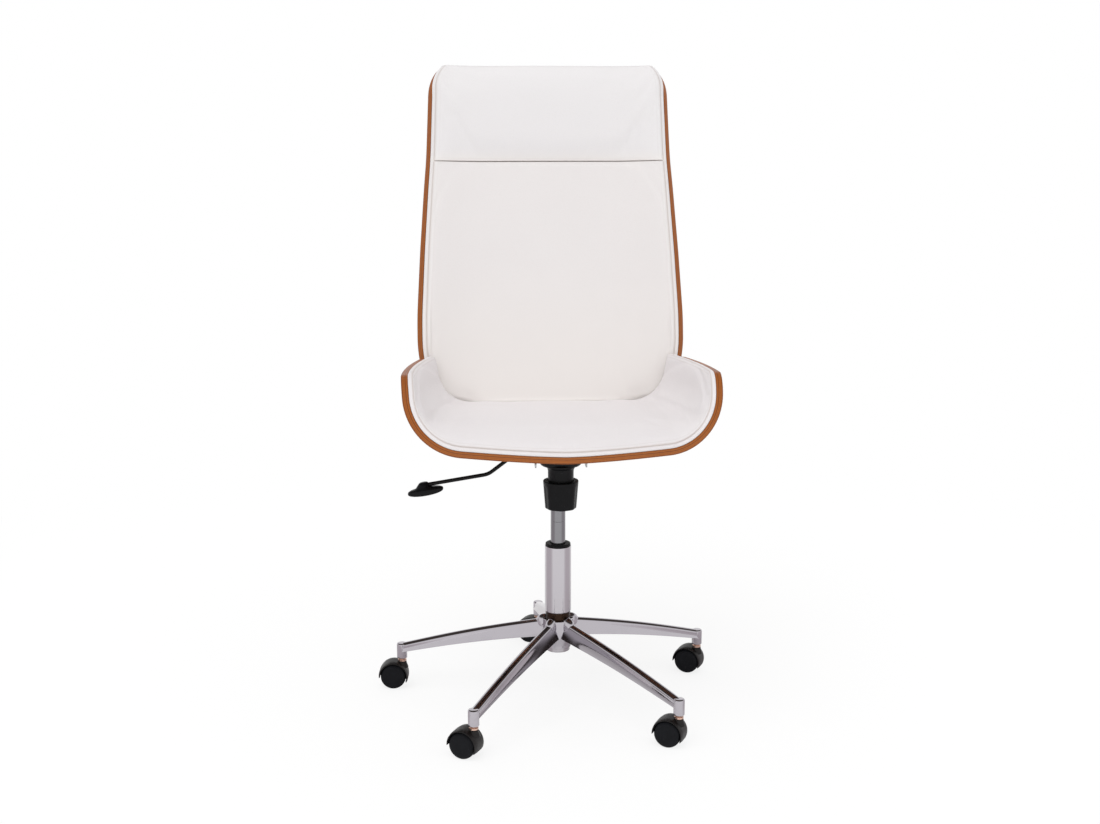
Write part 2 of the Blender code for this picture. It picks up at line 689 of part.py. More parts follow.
def make_tray():
    """Pressed steel tray with its welded spring tube and the tapered lift socket."""
    outline = [(TRAY_FRONT, TRAY_FOOT), (TRAY_REAR, TRAY_FOOT), (TRAY_REAR, TRAY_REAR_TOP),
               (-0.002, TRAY_HIGH), (PIVOT_Y - 0.013, TRAY_HIGH),
               (PULL_Y + 0.012, TRAY_LOW), (TRAY_FRONT, TRAY_LOW)]
    tray = prism("mechanism_housing", outline, TRAY_W, BLACK_STEEL)
    inside = box("tray_inside", (TRAY_WALL - TRAY_W / 2, TRAY_FRONT + TRAY_WALL, TRAY_FOOT + TRAY_WALL),
                 (TRAY_W / 2 - TRAY_WALL, TRAY_REAR - TRAY_WALL, TRAY_HIGH + 0.02))
    boolean(tray, inside, "DIFFERENCE")
    outer = CYLINDER_TOP_R + SOCKET_WALL
    socket = cylinder("lift_socket", outer, LIFT_SOCKET_FOOT, LIFT_SOCKET_TOP, sides=ROUND)
    boolean(tray, socket, "UNION")
    head = CYLINDER_TOP - CYLINDER_TAPER_H
    grow = (CYLINDER_R - CYLINDER_TOP_R) / CYLINDER_TAPER_H
    foot_r = CYLINDER_R + GAP + grow * 0.01
    bore = cylinder("lift_socket_bore", foot_r, head - 0.01, CYLINDER_TOP + 0.01, sides=ROUND,
                    top_radius=CYLINDER_TOP_R + GAP - grow * 0.01)
    boolean(tray, bore, "DIFFERENCE")
    profile = [(TUBE_R - TUBE_WALL, TRAY_FOOT + TRAY_WALL / 2), (TUBE_R, TRAY_FOOT + TRAY_WALL / 2),
               (TUBE_R, TUBE_FOOT), (TUBE_R - TUBE_WALL, TUBE_FOOT)]
    tube = bake(turned("spring_tube", profile, BLACK_STEEL, ROUND, closed=True))
    boolean(tray, place_front(tube), "UNION")
    holes = [("tray_bolt_hole", BOLT_R + 0.0015, TRAY_FOOT - 0.01, TRAY_FOOT + 0.01, (0.0, PULL_Y), "Z"),
             ("tray_axle_hole", PIVOT_R + GAP, -TRAY_W, TRAY_W, (PIVOT_Y, PIVOT_Z), "X"),
             ("tray_lever_hole", LEVER_R + 0.0016, -TRAY_W, 0.0, (LEVER_Y, LEVER_Z), "X")]
    for name, radius, low, high, centre, axis in holes:
        boolean(tray, cylinder(name, radius, low, high, centre, axis), "DIFFERENCE")
    return tray


def headed_pin(name, radius, centre, source):
    """Cross pin with a flat head at each end, outside the seat plate's ears."""
    half = EAR_X + EAR_T / 2 + GAP
    profile = [(0.0, half + PIN_HEAD_T), (PIN_HEAD_R, half + PIN_HEAD_T), (PIN_HEAD_R, half),
               (radius, half), (radius, -half), (PIN_HEAD_R, -half),
               (PIN_HEAD_R, -half - PIN_HEAD_T), (0.0, -half - PIN_HEAD_T)]
    pin = bake(turned(name, profile, source, PLAIN))
    pin.data.transform(Matrix.Rotation(math.pi / 2, 4, "Y"))
    return put_at(pin, (0.0, *centre))


def plate_height(y):
    """Top of the sloping seat plate."""
    return PLATE_Z - SLOPE * y


def make_plate():
    """Seat plate with the two ears that hang on the tilt axle."""
    plate = box("seat_plate", (-PLATE_W / 2, PLATE_FRONT, -PLATE_T), (PLATE_W / 2, PLATE_REAR, 0.0),
                BLACK_STEEL)
    plate.data.transform(Matrix.Translation((0, 0, PLATE_Z))
                         @ Matrix.Rotation(-math.radians(TILT_REST_DEG), 4, "X"))
    for side in (-1, 1):
        x = side * EAR_X
        top = [plate_height(EAR_FRONT) - PLATE_T / 2, plate_height(EAR_REAR) - PLATE_T / 2]
        outline = [(EAR_FRONT, EAR_FOOT), (EAR_REAR, EAR_FOOT), (EAR_REAR, top[1]), (EAR_FRONT, top[0])]
        ear = prism(f"plate_ear_{side}", outline, EAR_T, BLACK_STEEL, offset=x)
        boolean(plate, ear, "UNION")
    for name, radius, y in (("plate_axle_hole", PIVOT_R + RUN, PIVOT_Y),
                            ("plate_pull_hole", PULL_R + GAP, PULL_Y)):
        boolean(plate, cylinder(name, radius, -0.08, 0.08, (y, PIVOT_Z), "X"), "DIFFERENCE")
    for index, (x, y) in enumerate(plate_bolt_places()):
        hole = cylinder(f"plate_bolt_hole_{index}", BOLT_SHANK_R + GAP, PLATE_Z - 0.03,
                        PLATE_Z + 0.03, (x, y), sides=12)
        boolean(plate, hole, "DIFFERENCE")
    return plate


def plate_bolt_places():
    return [(sx * PLATE_BOLT_X, sy * PLATE_BOLT_Y) for sy in (-1, 1) for sx in (-1, 1)]


def back_bolt_places():
    return [(sx * BACK_BOLT_X, BACK_BOLT_Y) for sx in (-1, 1)]


def make_bolt(name, x, y, under):
    """Hex bolt from below: head under the given face, shank up into the seat ply."""
    head = cylinder(name, BOLT_HEAD_R, under - GAP - BOLT_HEAD_H, under - GAP, (x, y), sides=6)
    top = seat_under(y) + BOLT_BITE
    shank = cylinder(name + "_shank", BOLT_SHANK_R, under - GAP - BOLT_HEAD_H / 2, top, (x, y), sides=12)
    boolean(head, shank, "UNION")
    return head


def make_bolts():
    for index, (x, y) in enumerate(plate_bolt_places()):
        make_bolt(f"plate_bolt_{index + 1}", x, y, plate_height(y + BOLT_HEAD_R) - PLATE_T / LEVEL)
    for index, (x, y) in enumerate(back_bolt_places()):
        make_bolt(f"back_bolt_{index + 1}", x, y, foot_top(y + BOLT_HEAD_R) - PLY / LEVEL)


# Tension spring

def make_spring_group():
    eye_z = PIVOT_Z - EYE_PLAY + GAP
    shank = cylinder("tension_bolt", BOLT_R, BOLT_FOOT, eye_z, (0.0, PULL_Y), source=STEEL)
    eye = cylinder("bolt_eye", EYE_R, -EYE_W / 2, EYE_W / 2, (PULL_Y, eye_z), "X", sides=24)
    boolean(shank, eye, "UNION")
    hole = cylinder("bolt_eye_hole", PULL_R + EYE_PLAY, -EYE_W, EYE_W, (PULL_Y, eye_z), "X", sides=24)
    boolean(shank, hole, "DIFFERENCE")
    knob_floor = KNOB_FOOT + KNOB_FLOOR
    washer_foot = knob_floor + GAP
    washer_top = washer_foot + WASHER_T
    washer = [(BOLT_R + GAP, washer_top), (TUBE_R - TUBE_WALL - 0.001, washer_top),
              (TUBE_R - TUBE_WALL - 0.001, washer_foot), (BOLT_R + GAP, washer_foot)]
    place_front(turned("spring_washer", washer, STEEL, PLAIN, closed=True))
    make_spring(washer_top + GAP, TRAY_FOOT - GAP)
    make_knob(knob_floor)


def place_front(obj):
    """Put a piece on the tension bolt's axis."""
    return put_at(obj, (0.0, PULL_Y, 0.0))


def make_spring(low, high):
    """Round coil between the washer and the tray, one unbroken wire."""
    per_turn = 8
    count = int(SPRING_TURNS * per_turn) + 1
    foot = low + SPRING_WIRE_R + GAP
    rise = high - SPRING_WIRE_R - GAP - foot
    points = []
    for i in range(count):
        share = i / (count - 1)
        angle = 2 * math.pi * SPRING_TURNS * share
        points.append((SPRING_R * math.cos(angle), PULL_Y + SPRING_R * math.sin(angle), foot + rise * share))
    pitch = rise / SPRING_TURNS
    print("spring: least gap between turns, mm", round((pitch - 2 * SPRING_WIRE_R) * 1000, 2))
    return wire("tension_spring", points, SPRING_WIRE_R, SPRING_STEEL, resolution=1)


def make_knob(floor):
    """Fluted hand knob, a cup that slides over the spring tube."""
    cup = TUBE_R + RUN + 0.0004
    edge = 0.0020
    profile = [(cup, KNOB_TOP), (KNOB_TOP_R - edge, KNOB_TOP), (KNOB_TOP_R, KNOB_TOP - edge),
               (KNOB_FOOT_R, KNOB_FOOT + edge), (KNOB_FOOT_R - edge, KNOB_FOOT),
               (BOLT_R + RUN, KNOB_FOOT), (BOLT_R + RUN, floor), (cup, floor)]
    knob = turned("tension_knob", profile, BLACK_PLASTIC, ROUND, closed=True)
    knob = place_front(bake(knob))
    flute_at = (KNOB_TOP_R + KNOB_FOOT_R) / 2 + KNOB_FLUTE_R - KNOB_FLUTE_DEPTH
    for i in range(KNOB_FLUTES):
        angle = 2 * math.pi * (i + 0.5) / KNOB_FLUTES
        centre = (flute_at * math.cos(angle), PULL_Y + flute_at * math.sin(angle))
        flute = cylinder(f"knob_flute_{i + 1}", KNOB_FLUTE_R, KNOB_FOOT - 0.01, KNOB_TOP - 0.008,
                         centre, sides=12)
        boolean(knob, flute, "DIFFERENCE")
    return knob


# Lever

def rounded_path(corners, span, steps=3):
    """Straight runs joined by short curves, from a list of corner points."""
    points = [Vector(corners[0])]
    for before, corner, after in zip(corners, corners[1:], corners[2:]):
        before, corner, after = Vector(before), Vector(corner), Vector(after)
        a = corner + (before - corner).normalized() * span
        b = corner + (after - corner).normalized() * span
        for i in range(steps + 1):
            t = i / steps
            points.append(a * (1 - t) ** 2 + corner * 2 * t * (1 - t) + b * t ** 2)
    points.append(Vector(corners[-1]))
    return points


def make_lever():
    corners = [(LEVER_IN, LEVER_Y, LEVER_Z), (LEVER_BEND_X, LEVER_Y, LEVER_Z),
               (LEVER_LOW[0], LEVER_Y, LEVER_LOW[1]), (LEVER_END[0], LEVER_Y, LEVER_END[1])]
    wire("lever_rod", rounded_path(corners, LEVER_BEND_SPAN), LEVER_R, BLACK_STEEL)
    arm = box("lever_rocker",
              (ROCKER_OUT, LEVER_Y - ROCKER_W / 2, LEVER_Z - ROCKER_H / 2),
              (ROCKER_IN, LEVER_Y + ROCKER_W / 2, LEVER_Z + ROCKER_H / 2), BLACK_STEEL)
    nose_foot = CYLINDER_TOP + VALVE_UP + GAP
    nose = box("rocker_nose", (-ROCKER_IN, LEVER_Y, nose_foot),
               (ROCKER_IN - 0.0005, VALVE_R + 0.002, LEVER_Z + ROCKER_H / 2 - 0.0005), BLACK_STEEL)
    boolean(arm, nose, "UNION")
    bore = cylinder("rocker_bore", LEVER_R + RUN, -0.08, LEVER_IN + 0.003, (LEVER_Y, LEVER_Z), "X")
    boolean(arm, bore, "DIFFERENCE")
    set_origin(bake(arm), (-TRAY_W / 2, LEVER_Y, LEVER_Z))
    make_paddle()


def make_paddle():
    """Moulded grip with a rounded boss that takes the rod's end."""
    bm = bmesh.new()
    bmesh.ops.create_uvsphere(bm, u_segments=16, v_segments=8, radius=0.5)
    for vert in bm.verts:
        x, y, z = vert.co * 2
        height = z if z > 0 else PADDLE_BELLY * z
        vert.co = (x * PADDLE_L / 2 + PADDLE_X, y * PADDLE_W / 2 + LEVER_Y,
                   height * PADDLE_T / 2 + PADDLE_SLOPE * (x * PADDLE_L / 2) + PADDLE_Z)
    paddle = add_mesh("lever_paddle", bm, BLACK_PLASTIC)
    end = Vector((LEVER_END[0], LEVER_Y, LEVER_END[1]))
    boss = cylinder("paddle_boss", PADDLE_BOSS_FOOT_R, end.z - PADDLE_BOSS_DOWN, end.z + PADDLE_BOSS_UP,
                    (end.x, LEVER_Y), sides=PLAIN, top_radius=PADDLE_BOSS_TOP_R)
    boolean(paddle, boss, "UNION")
    low = Vector((LEVER_LOW[0], LEVER_Y, LEVER_LOW[1]))
    way = (end - low).normalized()
    bore_path = [end + way * GAP, end - way * 0.05]
    bore = wire("paddle_bore", bore_path, LEVER_R + GAP, STEEL, resolution=3)
    boolean(paddle, bore, "DIFFERENCE")
    return paddle


# Seat shell surfaces

def smooth(t):
    t = min(max(t, 0.0), 1.0)
    return t * t * (3 - 2 * t)


def seat_centre(y):
    """Top of the ply on the seat's middle line: a straight slope with a falling lip."""
    lip = max(SEAT_LIP_FROM - y, 0.0)
    return SEAT_TOP - SLOPE * y - SEAT_LIP_FALL * lip * lip


def seat_under(y):
    return seat_centre(y) - PLY / LEVEL


def foot_top(y):
    """Upper face of the back shell's foot, against the underside of the seat."""
    return seat_under(y) - GAP


def flat_half(y):
    """Half width of the seat's flat middle, which narrows behind the wings' front."""
    share = max(y - WING_FRONT, 0.0) / (WING_REAR - WING_FRONT)
    return FLAT_HALF_FRONT + (FLAT_HALF_REAR - FLAT_HALF_FRONT) * share * share


BEND = math.radians(BEND_DEG)
BEND_LENGTH = BEND_R * BEND
SEAT_HALF_LENGTH = FLAT_HALF_FRONT + BEND_LENGTH + WING_RISE


def seat_section(share, y, lift):
    """Across the seat at depth y: share 0 is the middle and 1 the wing's top edge, and
    lift is the height off the ply's top. Returns x, the rise and the slope angle."""
    length = share * SEAT_HALF_LENGTH
    flat = flat_half(y)
    bend = min(max(length - FLAT_HALF_FRONT, 0.0), BEND_LENGTH)
    beyond = max(length - FLAT_HALF_FRONT - BEND_LENGTH, 0.0)
    angle = bend / BEND_R
    x = min(length / FLAT_HALF_FRONT, 1.0) * flat
    x += BEND_R * math.sin(angle) + beyond * math.cos(angle)
    rise = BEND_R * (1 - math.cos(angle)) + beyond * math.sin(angle)
    return x - lift * math.sin(angle), rise + lift * math.cos(angle), angle


def seat_front_edge(share, inset=0.0):
    """Front edge of the seat blank, drawn back to the wings and rounded at their tops."""
    sweep = WING_FRONT - WING_CORNER_R - SEAT_FRONT
    edge = SEAT_FRONT + sweep * abs(share) ** FRONT_POWER
    corner = WING_CORNER_R / SEAT_HALF_LENGTH
    into = min(max((abs(share) - 1 + corner) / corner, 0.0), 1.0)
    return edge + WING_CORNER_R * (1 - math.sqrt(1 - into * into)) + inset


def seat_point(share, y, lift):
    x, rise, angle = seat_section(abs(share), y, lift)
    return math.copysign(x, share), y, seat_centre(y) + rise


# Back shell surfaces

LEAN_LOW = math.radians(LEAN_LOW_DEG)
LEAN_TOP = math.radians(LEAN_TOP_DEG)


HEADING_FOOT = -math.radians(TILT_REST_DEG)
HEADING_LOW = math.pi / 2 - LEAN_LOW
FOOT_BEND_Y = BACK_Y - FOOT_BEND_R * (math.sin(HEADING_LOW) - math.sin(HEADING_FOOT))
FOOT_LENGTH = (FOOT_BEND_Y - FOOT_FRONT) / LEVEL
FOOT_BEND_END = FOOT_LENGTH + FOOT_BEND_R * (HEADING_LOW - HEADING_FOOT)


def build_back_line():
    """Middle line of the back ply's front face: foot, bend, straight and upper curve.
    Each row holds the length along it, y, z and the heading above the horizontal."""
    step = 0.002
    y, z = FOOT_FRONT, foot_top(FOOT_FRONT)
    bend_top = foot_top(FOOT_BEND_Y) + FOOT_BEND_R * (math.cos(HEADING_FOOT) - math.cos(HEADING_LOW))
    rows = []
    length = 0.0
    while z < BACK_TOP:
        if length < FOOT_LENGTH:
            heading = HEADING_FOOT
        elif length < FOOT_BEND_END:
            heading = HEADING_FOOT + (length - FOOT_LENGTH) / FOOT_BEND_R
        else:
            upper = (length - FOOT_BEND_END - LEAN_FROM) / (BACK_TOP - bend_top - LEAN_FROM)
            heading = HEADING_LOW + (LEAN_LOW - LEAN_TOP) * min(max(upper, 0.0), 1.0)
        rows.append((length, y, z, heading))
        y += step * math.cos(heading)
        z += step * math.sin(heading)
        length += step
    rows.append((length, y, z, heading))
    return np.array(rows)


BACK_LINE = build_back_line()
BACK_LENGTH = BACK_LINE[-1, 0]


def back_line(length):
    return [float(np.interp(length, BACK_LINE[:, 0], BACK_LINE[:, i])) for i in (1, 2, 3)]


def back_length_at(z):
    """Length along the back's middle line at a height above the foot bend."""
    rising = BACK_LINE[BACK_LINE[:, 3] > math.pi / 6]
    return float(np.interp(z, rising[:, 2], rising[:, 0]))


def back_section(x):
    """Forward bow of the back at a half width, and the angle of its surface there."""
    reach = min(max(abs(x) - BACK_FLAT_HALF, 0.0), BACK_BEND_R * BACK_BEND_MOST)
    angle = math.asin(reach / BACK_BEND_R)
    return BACK_BEND_R * (1 - math.cos(angle)), angle


def back_half_width(length):
    """Half width of the back blank: the narrow foot, then the outline by height."""
    y, z, heading = back_line(length)
    heights = [p[0] for p in BACK_OUTLINE]
    widths = [p[1] for p in BACK_OUTLINE]
    if z < heights[0] or length < back_length_at(heights[0]):
        share = length / back_length_at(heights[0])
        flare = smooth((share - FOOT_FLARE_FROM) / (1 - FOOT_FLARE_FROM))
        wide = FOOT_HALF + (widths[0] - FOOT_HALF) * flare
    else:
        wide = float(np.interp(z, heights, widths))
    return wide - corner_loss(length, BACK_LENGTH, BACK_CORNER_R)


def back_point(x, length, lift):
    """Point over the back at a half width and a length along it, lift off the front."""
    y, z, heading = back_line(length)
    bow, angle = back_section(x)
    share = smooth((length - FOOT_LENGTH) / (FOOT_BEND_END - FOOT_LENGTH))
    bow *= share
    angle *= share
    forward = bow + lift * math.cos(angle)
    side = abs(x) - lift * math.sin(angle)
    return (math.copysign(side, x), y - forward * math.sin(heading), z + forward * math.cos(heading))


def back_front_y(x, z, lift):
    """How far back a point at x and z can reach before it meets the back, raised by lift."""
    bow, angle = back_section(x)
    forward = bow + lift / max(math.cos(angle), 0.5)
    y, _, heading = back_line(back_length_at(z - forward * math.sin(LEAN_LOW)))
    return y - forward * math.sin(heading)


# Shell pieces

def seat_share(u):
    """Columns of the seat's grid, closer together over the wings."""
    return math.copysign(abs(u) ** 0.8, u)


def seat_rear_edge(share, lift):
    """Rear edge of the seat blank: short of the foot bend, and of the back's pad."""
    x, rise, angle = seat_section(abs(share), WING_REAR, lift)
    z = seat_centre(WING_REAR) + rise
    sweep = smooth((abs(share) - REAR_SWEEP_FROM) / (REAR_SWEEP_TO - REAR_SWEEP_FROM))
    return min(SEAT_REAR + SEAT_REAR_WING * sweep,
               back_front_y(x, z, back_pad_thickness(x, z)) - PAD_CLEAR)


def seat_shell_place(u, v, w):
    share = seat_share(u)
    front = seat_front_edge(share)
    rear = min(seat_rear_edge(share, 0.0), seat_rear_edge(share, -PLY))
    y = front + (rear - front) * (v + 1) / 2
    return seat_point(share, y, (w - 1) * PLY)


def make_seat_shell():
    shell = sheet_solid("seat_shell", SEAT_COLUMNS, SEAT_ROWS, seat_shell_place, WALNUT)
    for index, (x, y) in enumerate(plate_bolt_places() + back_bolt_places()):
        hole = cylinder(f"seat_bolt_hole_{index}", BOLT_SHANK_R + GAP, seat_under(y) - 0.02,
                        seat_under(y) + BOLT_BITE + GAP, (x, y), sides=12)
        boolean(shell, hole, "DIFFERENCE")
    return shell


# Rows of the back shell's grid: few along the flat foot, close together in its bend
BACK_ROWS = np.concatenate([
    np.linspace(0.0, FOOT_LENGTH, 3)[:-1],
    np.linspace(FOOT_LENGTH, FOOT_BEND_END, 7)[:-1],
    np.linspace(FOOT_BEND_END, FOOT_BEND_END + LEAN_FROM, 6)[:-1],
    np.linspace(FOOT_BEND_END + LEAN_FROM, BACK_LENGTH - BACK_CORNER_R, 9)[:-1],
    BACK_LENGTH - BACK_CORNER_R * np.cos(np.radians([0.0, 35.0, 55.0, 70.0, 82.0])),
    [BACK_LENGTH]])
BACK_COLUMNS = 12
SEAT_COLUMNS = 28
SEAT_ROWS = 9


def facet_rise(step, radius):
    """How far a flat facet of a given length stands off an arc."""
    return step * step / (8 * radius)


def back_shell_place(u, v, w):
    length = float(BACK_ROWS[round((len(BACK_ROWS) - 1) * (v + 1) / 2)])
    x = back_half_width(length) * u
    return back_point(x, length, (w - 1) * PLY)


def make_back_shell():
    shell = sheet_solid("back_shell", BACK_COLUMNS, len(BACK_ROWS) - 1, back_shell_place, WALNUT)
    for index, (x, y) in enumerate(back_bolt_places()):
        hole = cylinder(f"back_bolt_hole_{index}", BOLT_SHANK_R + GAP, seat_under(y) - 0.04,
                        seat_under(y) + 0.02, (x, y), sides=12)
        boolean(shell, hole, "DIFFERENCE")
    return shell


# Pads

SEAT_PAD_ROWS = 6
SEAT_PAD_ROW = (SEAT_REAR - SEAT_FRONT) / SEAT_PAD_ROWS
SEAT_PAD_BASE = GAP + SEAT_LIP_FALL * (SEAT_PAD_ROW / 2) ** 2
BACK_COLUMN = 2 * max(half for height, half in BACK_OUTLINE) / BACK_COLUMNS
BACK_PAD_BASE = GAP + facet_rise(BACK_COLUMN, BACK_BEND_R) + BED_PLAY


def crown(u, v, power=0.5):
    """Swell of a pad: nothing at its border and one over most of its middle."""
    return max((1 - u ** 4) * (1 - v ** 4), 0.0) ** power


def back_pad_thickness(x, z):
    """Thickness of the back pad near a point, for what stops against it."""
    half = float(np.interp(z, [p[0] for p in BACK_OUTLINE], [p[1] for p in BACK_OUTLINE]))
    u = min(abs(x) / half, 1.0)
    return PAD_EDGE + (BACK_PAD - PAD_EDGE) * crown(u, 0.0)


def seat_pad_thickness(share, v):
    full = SEAT_PAD + (SEAT_PAD_WING - SEAT_PAD) * smooth(abs(share) / WING_THIN_BY)
    rear_v = min(v, REAR_FULL_FROM)
    return PAD_EDGE + (full - PAD_EDGE) * crown(share, rear_v)


def seat_pad_place(u, v, w):
    share = seat_share(u) * (1 - SEAT_PAD_INSET / SEAT_HALF_LENGTH)
    lift = SEAT_PAD_BASE if w == 0 else seat_pad_thickness(share, v)
    front = seat_front_edge(share, SEAT_PAD_INSET)
    x, rise, angle = seat_section(abs(share), WING_REAR, lift)
    z = seat_centre(WING_REAR) + rise
    rear = back_front_y(x, z, back_pad_thickness(x, z)) - 2 * PAD_CLEAR
    y = front + (rear - front) * (v + 1) / 2
    return seat_point(share, y, lift)


def corner_loss(length, top, radius):
    """What a rounded top corner takes off a half width at a length along the back."""
    over = min(max(length - top + radius, 0.0) / radius, 1.0)
    return radius * (1 - math.sqrt(1 - over * over))


def pad_on_back(low, high, thickness, corner=0.0):
    """Placing rule of a pad on the back between two lengths along it, with its rows
    closer together towards a rounded top."""
    def place(u, v, w):
        along = (v + 1) / 2
        if corner:
            along = math.sin(along * math.pi / 2)
        length = low + (high - low) * along
        half = back_half_width(min(length, BACK_LENGTH - BACK_CORNER_R)) - BACK_PAD_INSET
        if corner:
            half -= corner_loss(length, high, corner)
        swell = PAD_EDGE + (thickness - PAD_EDGE) * crown(u, v)
        lift = BACK_PAD_BASE if w == 0 else swell
        return back_point(half * u, length, lift)
    return place


def make_pads():
    seat = sheet_solid("seat_cushion", 14, SEAT_PAD_ROWS, seat_pad_place, LEATHER, crease=0.8)
    subdivide(seat)
    low = back_length_at(BACK_PAD_FOOT)
    seam = back_length_at(BACK_TOP - HEAD_PAD_H)
    back = sheet_solid("back_cushion", 10, 7, pad_on_back(low, seam - GAP / 2, BACK_PAD),
                       LEATHER, crease=0.8)
    subdivide(back)
    top = BACK_LENGTH + HEAD_PAD_OVER
    head = sheet_solid("headrest_cushion", 10, 5,
                       pad_on_back(seam + GAP / 2, top, HEAD_PAD, BACK_CORNER_R), LEATHER,
                       crease=0.6)
    subdivide(head)


def main():
    make_base()
    make_casters()
    make_column()
    make_cylinder()
    make_tray()
    headed_pin("tilt_axle", PIVOT_R, (PIVOT_Y, PIVOT_Z), STEEL)
    headed_pin("pull_pin", PULL_R, (PULL_Y, PIVOT_Z), STEEL)
    make_spring_group()
    make_lever()
    make_plate()
    make_seat_shell()
    make_back_shell()
    make_pads()
    make_bolts()
    hang_on("tilt_pivot", (0.0, PIVOT_Y, PIVOT_Z),
            ["seat_plate", "pull_pin", "seat_shell", "seat_cushion", "back_shell", "back_cushion",
             "headrest_cushion", "back_bolt_1", "back_bolt_2"]
            + [f"plate_bolt_{index + 1}" for index in range(len(plate_bolt_places()))])
    hang_on("lever_pivot", (-TRAY_W / 2, LEVER_Y, LEVER_Z), ["lever_rod", "lever_paddle"])
    for index in range(LEGS):
        n = index + 1
        hang_on(f"caster_pivot_{n}", CHAIR.objects[f"caster_stem_{n}"].location,
                [f"caster_{part}_{n}" for part in ("stem", "hood", "axle")]
                + [f"wheel_{n}_left", f"wheel_{n}_right"])


main()
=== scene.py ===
"""High-back office chair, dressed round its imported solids: chromed five-leg base on
twin-wheel casters, gas lift, tilting mechanism, two bent plywood shells, leather pads.
"""

import math

import bmesh
import bpy
import numpy as np
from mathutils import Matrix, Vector


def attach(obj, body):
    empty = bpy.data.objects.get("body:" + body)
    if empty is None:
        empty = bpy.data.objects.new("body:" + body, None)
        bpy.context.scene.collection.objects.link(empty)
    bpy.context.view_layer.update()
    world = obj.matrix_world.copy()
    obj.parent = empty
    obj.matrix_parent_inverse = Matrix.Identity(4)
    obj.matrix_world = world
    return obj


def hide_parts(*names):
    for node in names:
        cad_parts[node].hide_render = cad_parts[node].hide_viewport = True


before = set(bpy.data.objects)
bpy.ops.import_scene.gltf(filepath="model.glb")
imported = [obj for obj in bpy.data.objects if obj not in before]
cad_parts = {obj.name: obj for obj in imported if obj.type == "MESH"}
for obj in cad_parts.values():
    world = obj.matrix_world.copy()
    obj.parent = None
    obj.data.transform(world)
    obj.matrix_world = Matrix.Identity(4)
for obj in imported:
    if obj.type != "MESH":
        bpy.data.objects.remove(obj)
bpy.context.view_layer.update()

# Five-leg base
# A short steel hub with five legs welded round it, each pressed from sheet as an open
# channel with a rounded ridge, and a tube at its tip for the caster. All of it is chromed.

LEGS = 5
FIRST_LEG_DEG = 22.0
STEM_CIRCLE_R = 0.311
HUB_R = 0.029
HUB_LOW, HUB_HIGH = 0.106, 0.162
HUB_BORE_R = (0.0231, 0.0238)           # of its tapered bore at the foot and at the top
HUB_WAIST, HUB_FOOT_R = 0.128, 0.0246   # under the legs it narrows to its foot
LEG_TOP = (0.160, 0.0898)   # here and in the next lines: at the hub and at the tip
LEG_DEPTH = (0.031, 0.0165)
LEG_RIDGE_W = (0.016, 0.0170)
LEG_FOOT_W = (0.033, 0.0200)
LEG_WALL, LEG_ARCH, LEG_HOLLOW = 0.0022, 0.0040, 0.0009
LEG_ARC_DEG = 78.0          # turn of the ridge's arc, each way from its top
LEG_SINK = 0.002            # length of a leg's root inside the hub's wall
LEG_CROWN = 0.85            # height of the ridge's arc as a share of its half width
KNUCKLE_PLACE = (0.0250, 0.0, 0.1510)   # middle of the rounded root of a leg along +X
KNUCKLE_SIZE = (0.0185, 0.0112, 0.0175)
KNUCKLE_STOP = 0.0228                   # it ends in the wall of the outer tube
SOCKET_R, SOCKET_BORE_R = 0.0100, 0.0058
SOCKET_LOW, SOCKET_HIGH, SOCKET_BORE_HIGH = 0.0597, 0.0900, 0.0862
SIDES = 96                  # points round a large turned piece


def joined(operation, swapped=False):
    """Method that joins a signal and another value or signal in one math node."""
    def method(self, other):
        pair = (other, self) if swapped else (self, other)
        return self.finish.node("ShaderNodeMath", {"operation": operation}, dict(enumerate(pair)))
    return method


class Signal:
    """A value or colour on its way through a finish's nodes, which sums like a number."""

    def __init__(self, finish, socket):
        self.finish = finish
        self.socket = socket

    __add__ = __radd__ = joined("ADD")
    __mul__ = __rmul__ = joined("MULTIPLY")
    __sub__, __rsub__ = joined("SUBTRACT"), joined("SUBTRACT", True)
    __truediv__, __pow__ = joined("DIVIDE"), joined("POWER")

    def sine(self):
        return self.finish.node("ShaderNodeMath", {"operation": "SINE"}, {0: self})

    def step(self, low, high):
        """0 below low, 1 above high and a soft rise between."""
        return self.finish.node("ShaderNodeMapRange", {"interpolation_type": "SMOOTHSTEP"},
                                {"Value": self, "From Min": low, "From Max": high})

    def part(self, axis):
        """One coordinate of a vector."""
        return self.finish.node("ShaderNodeSeparateXYZ", {}, {0: self}, output=axis)


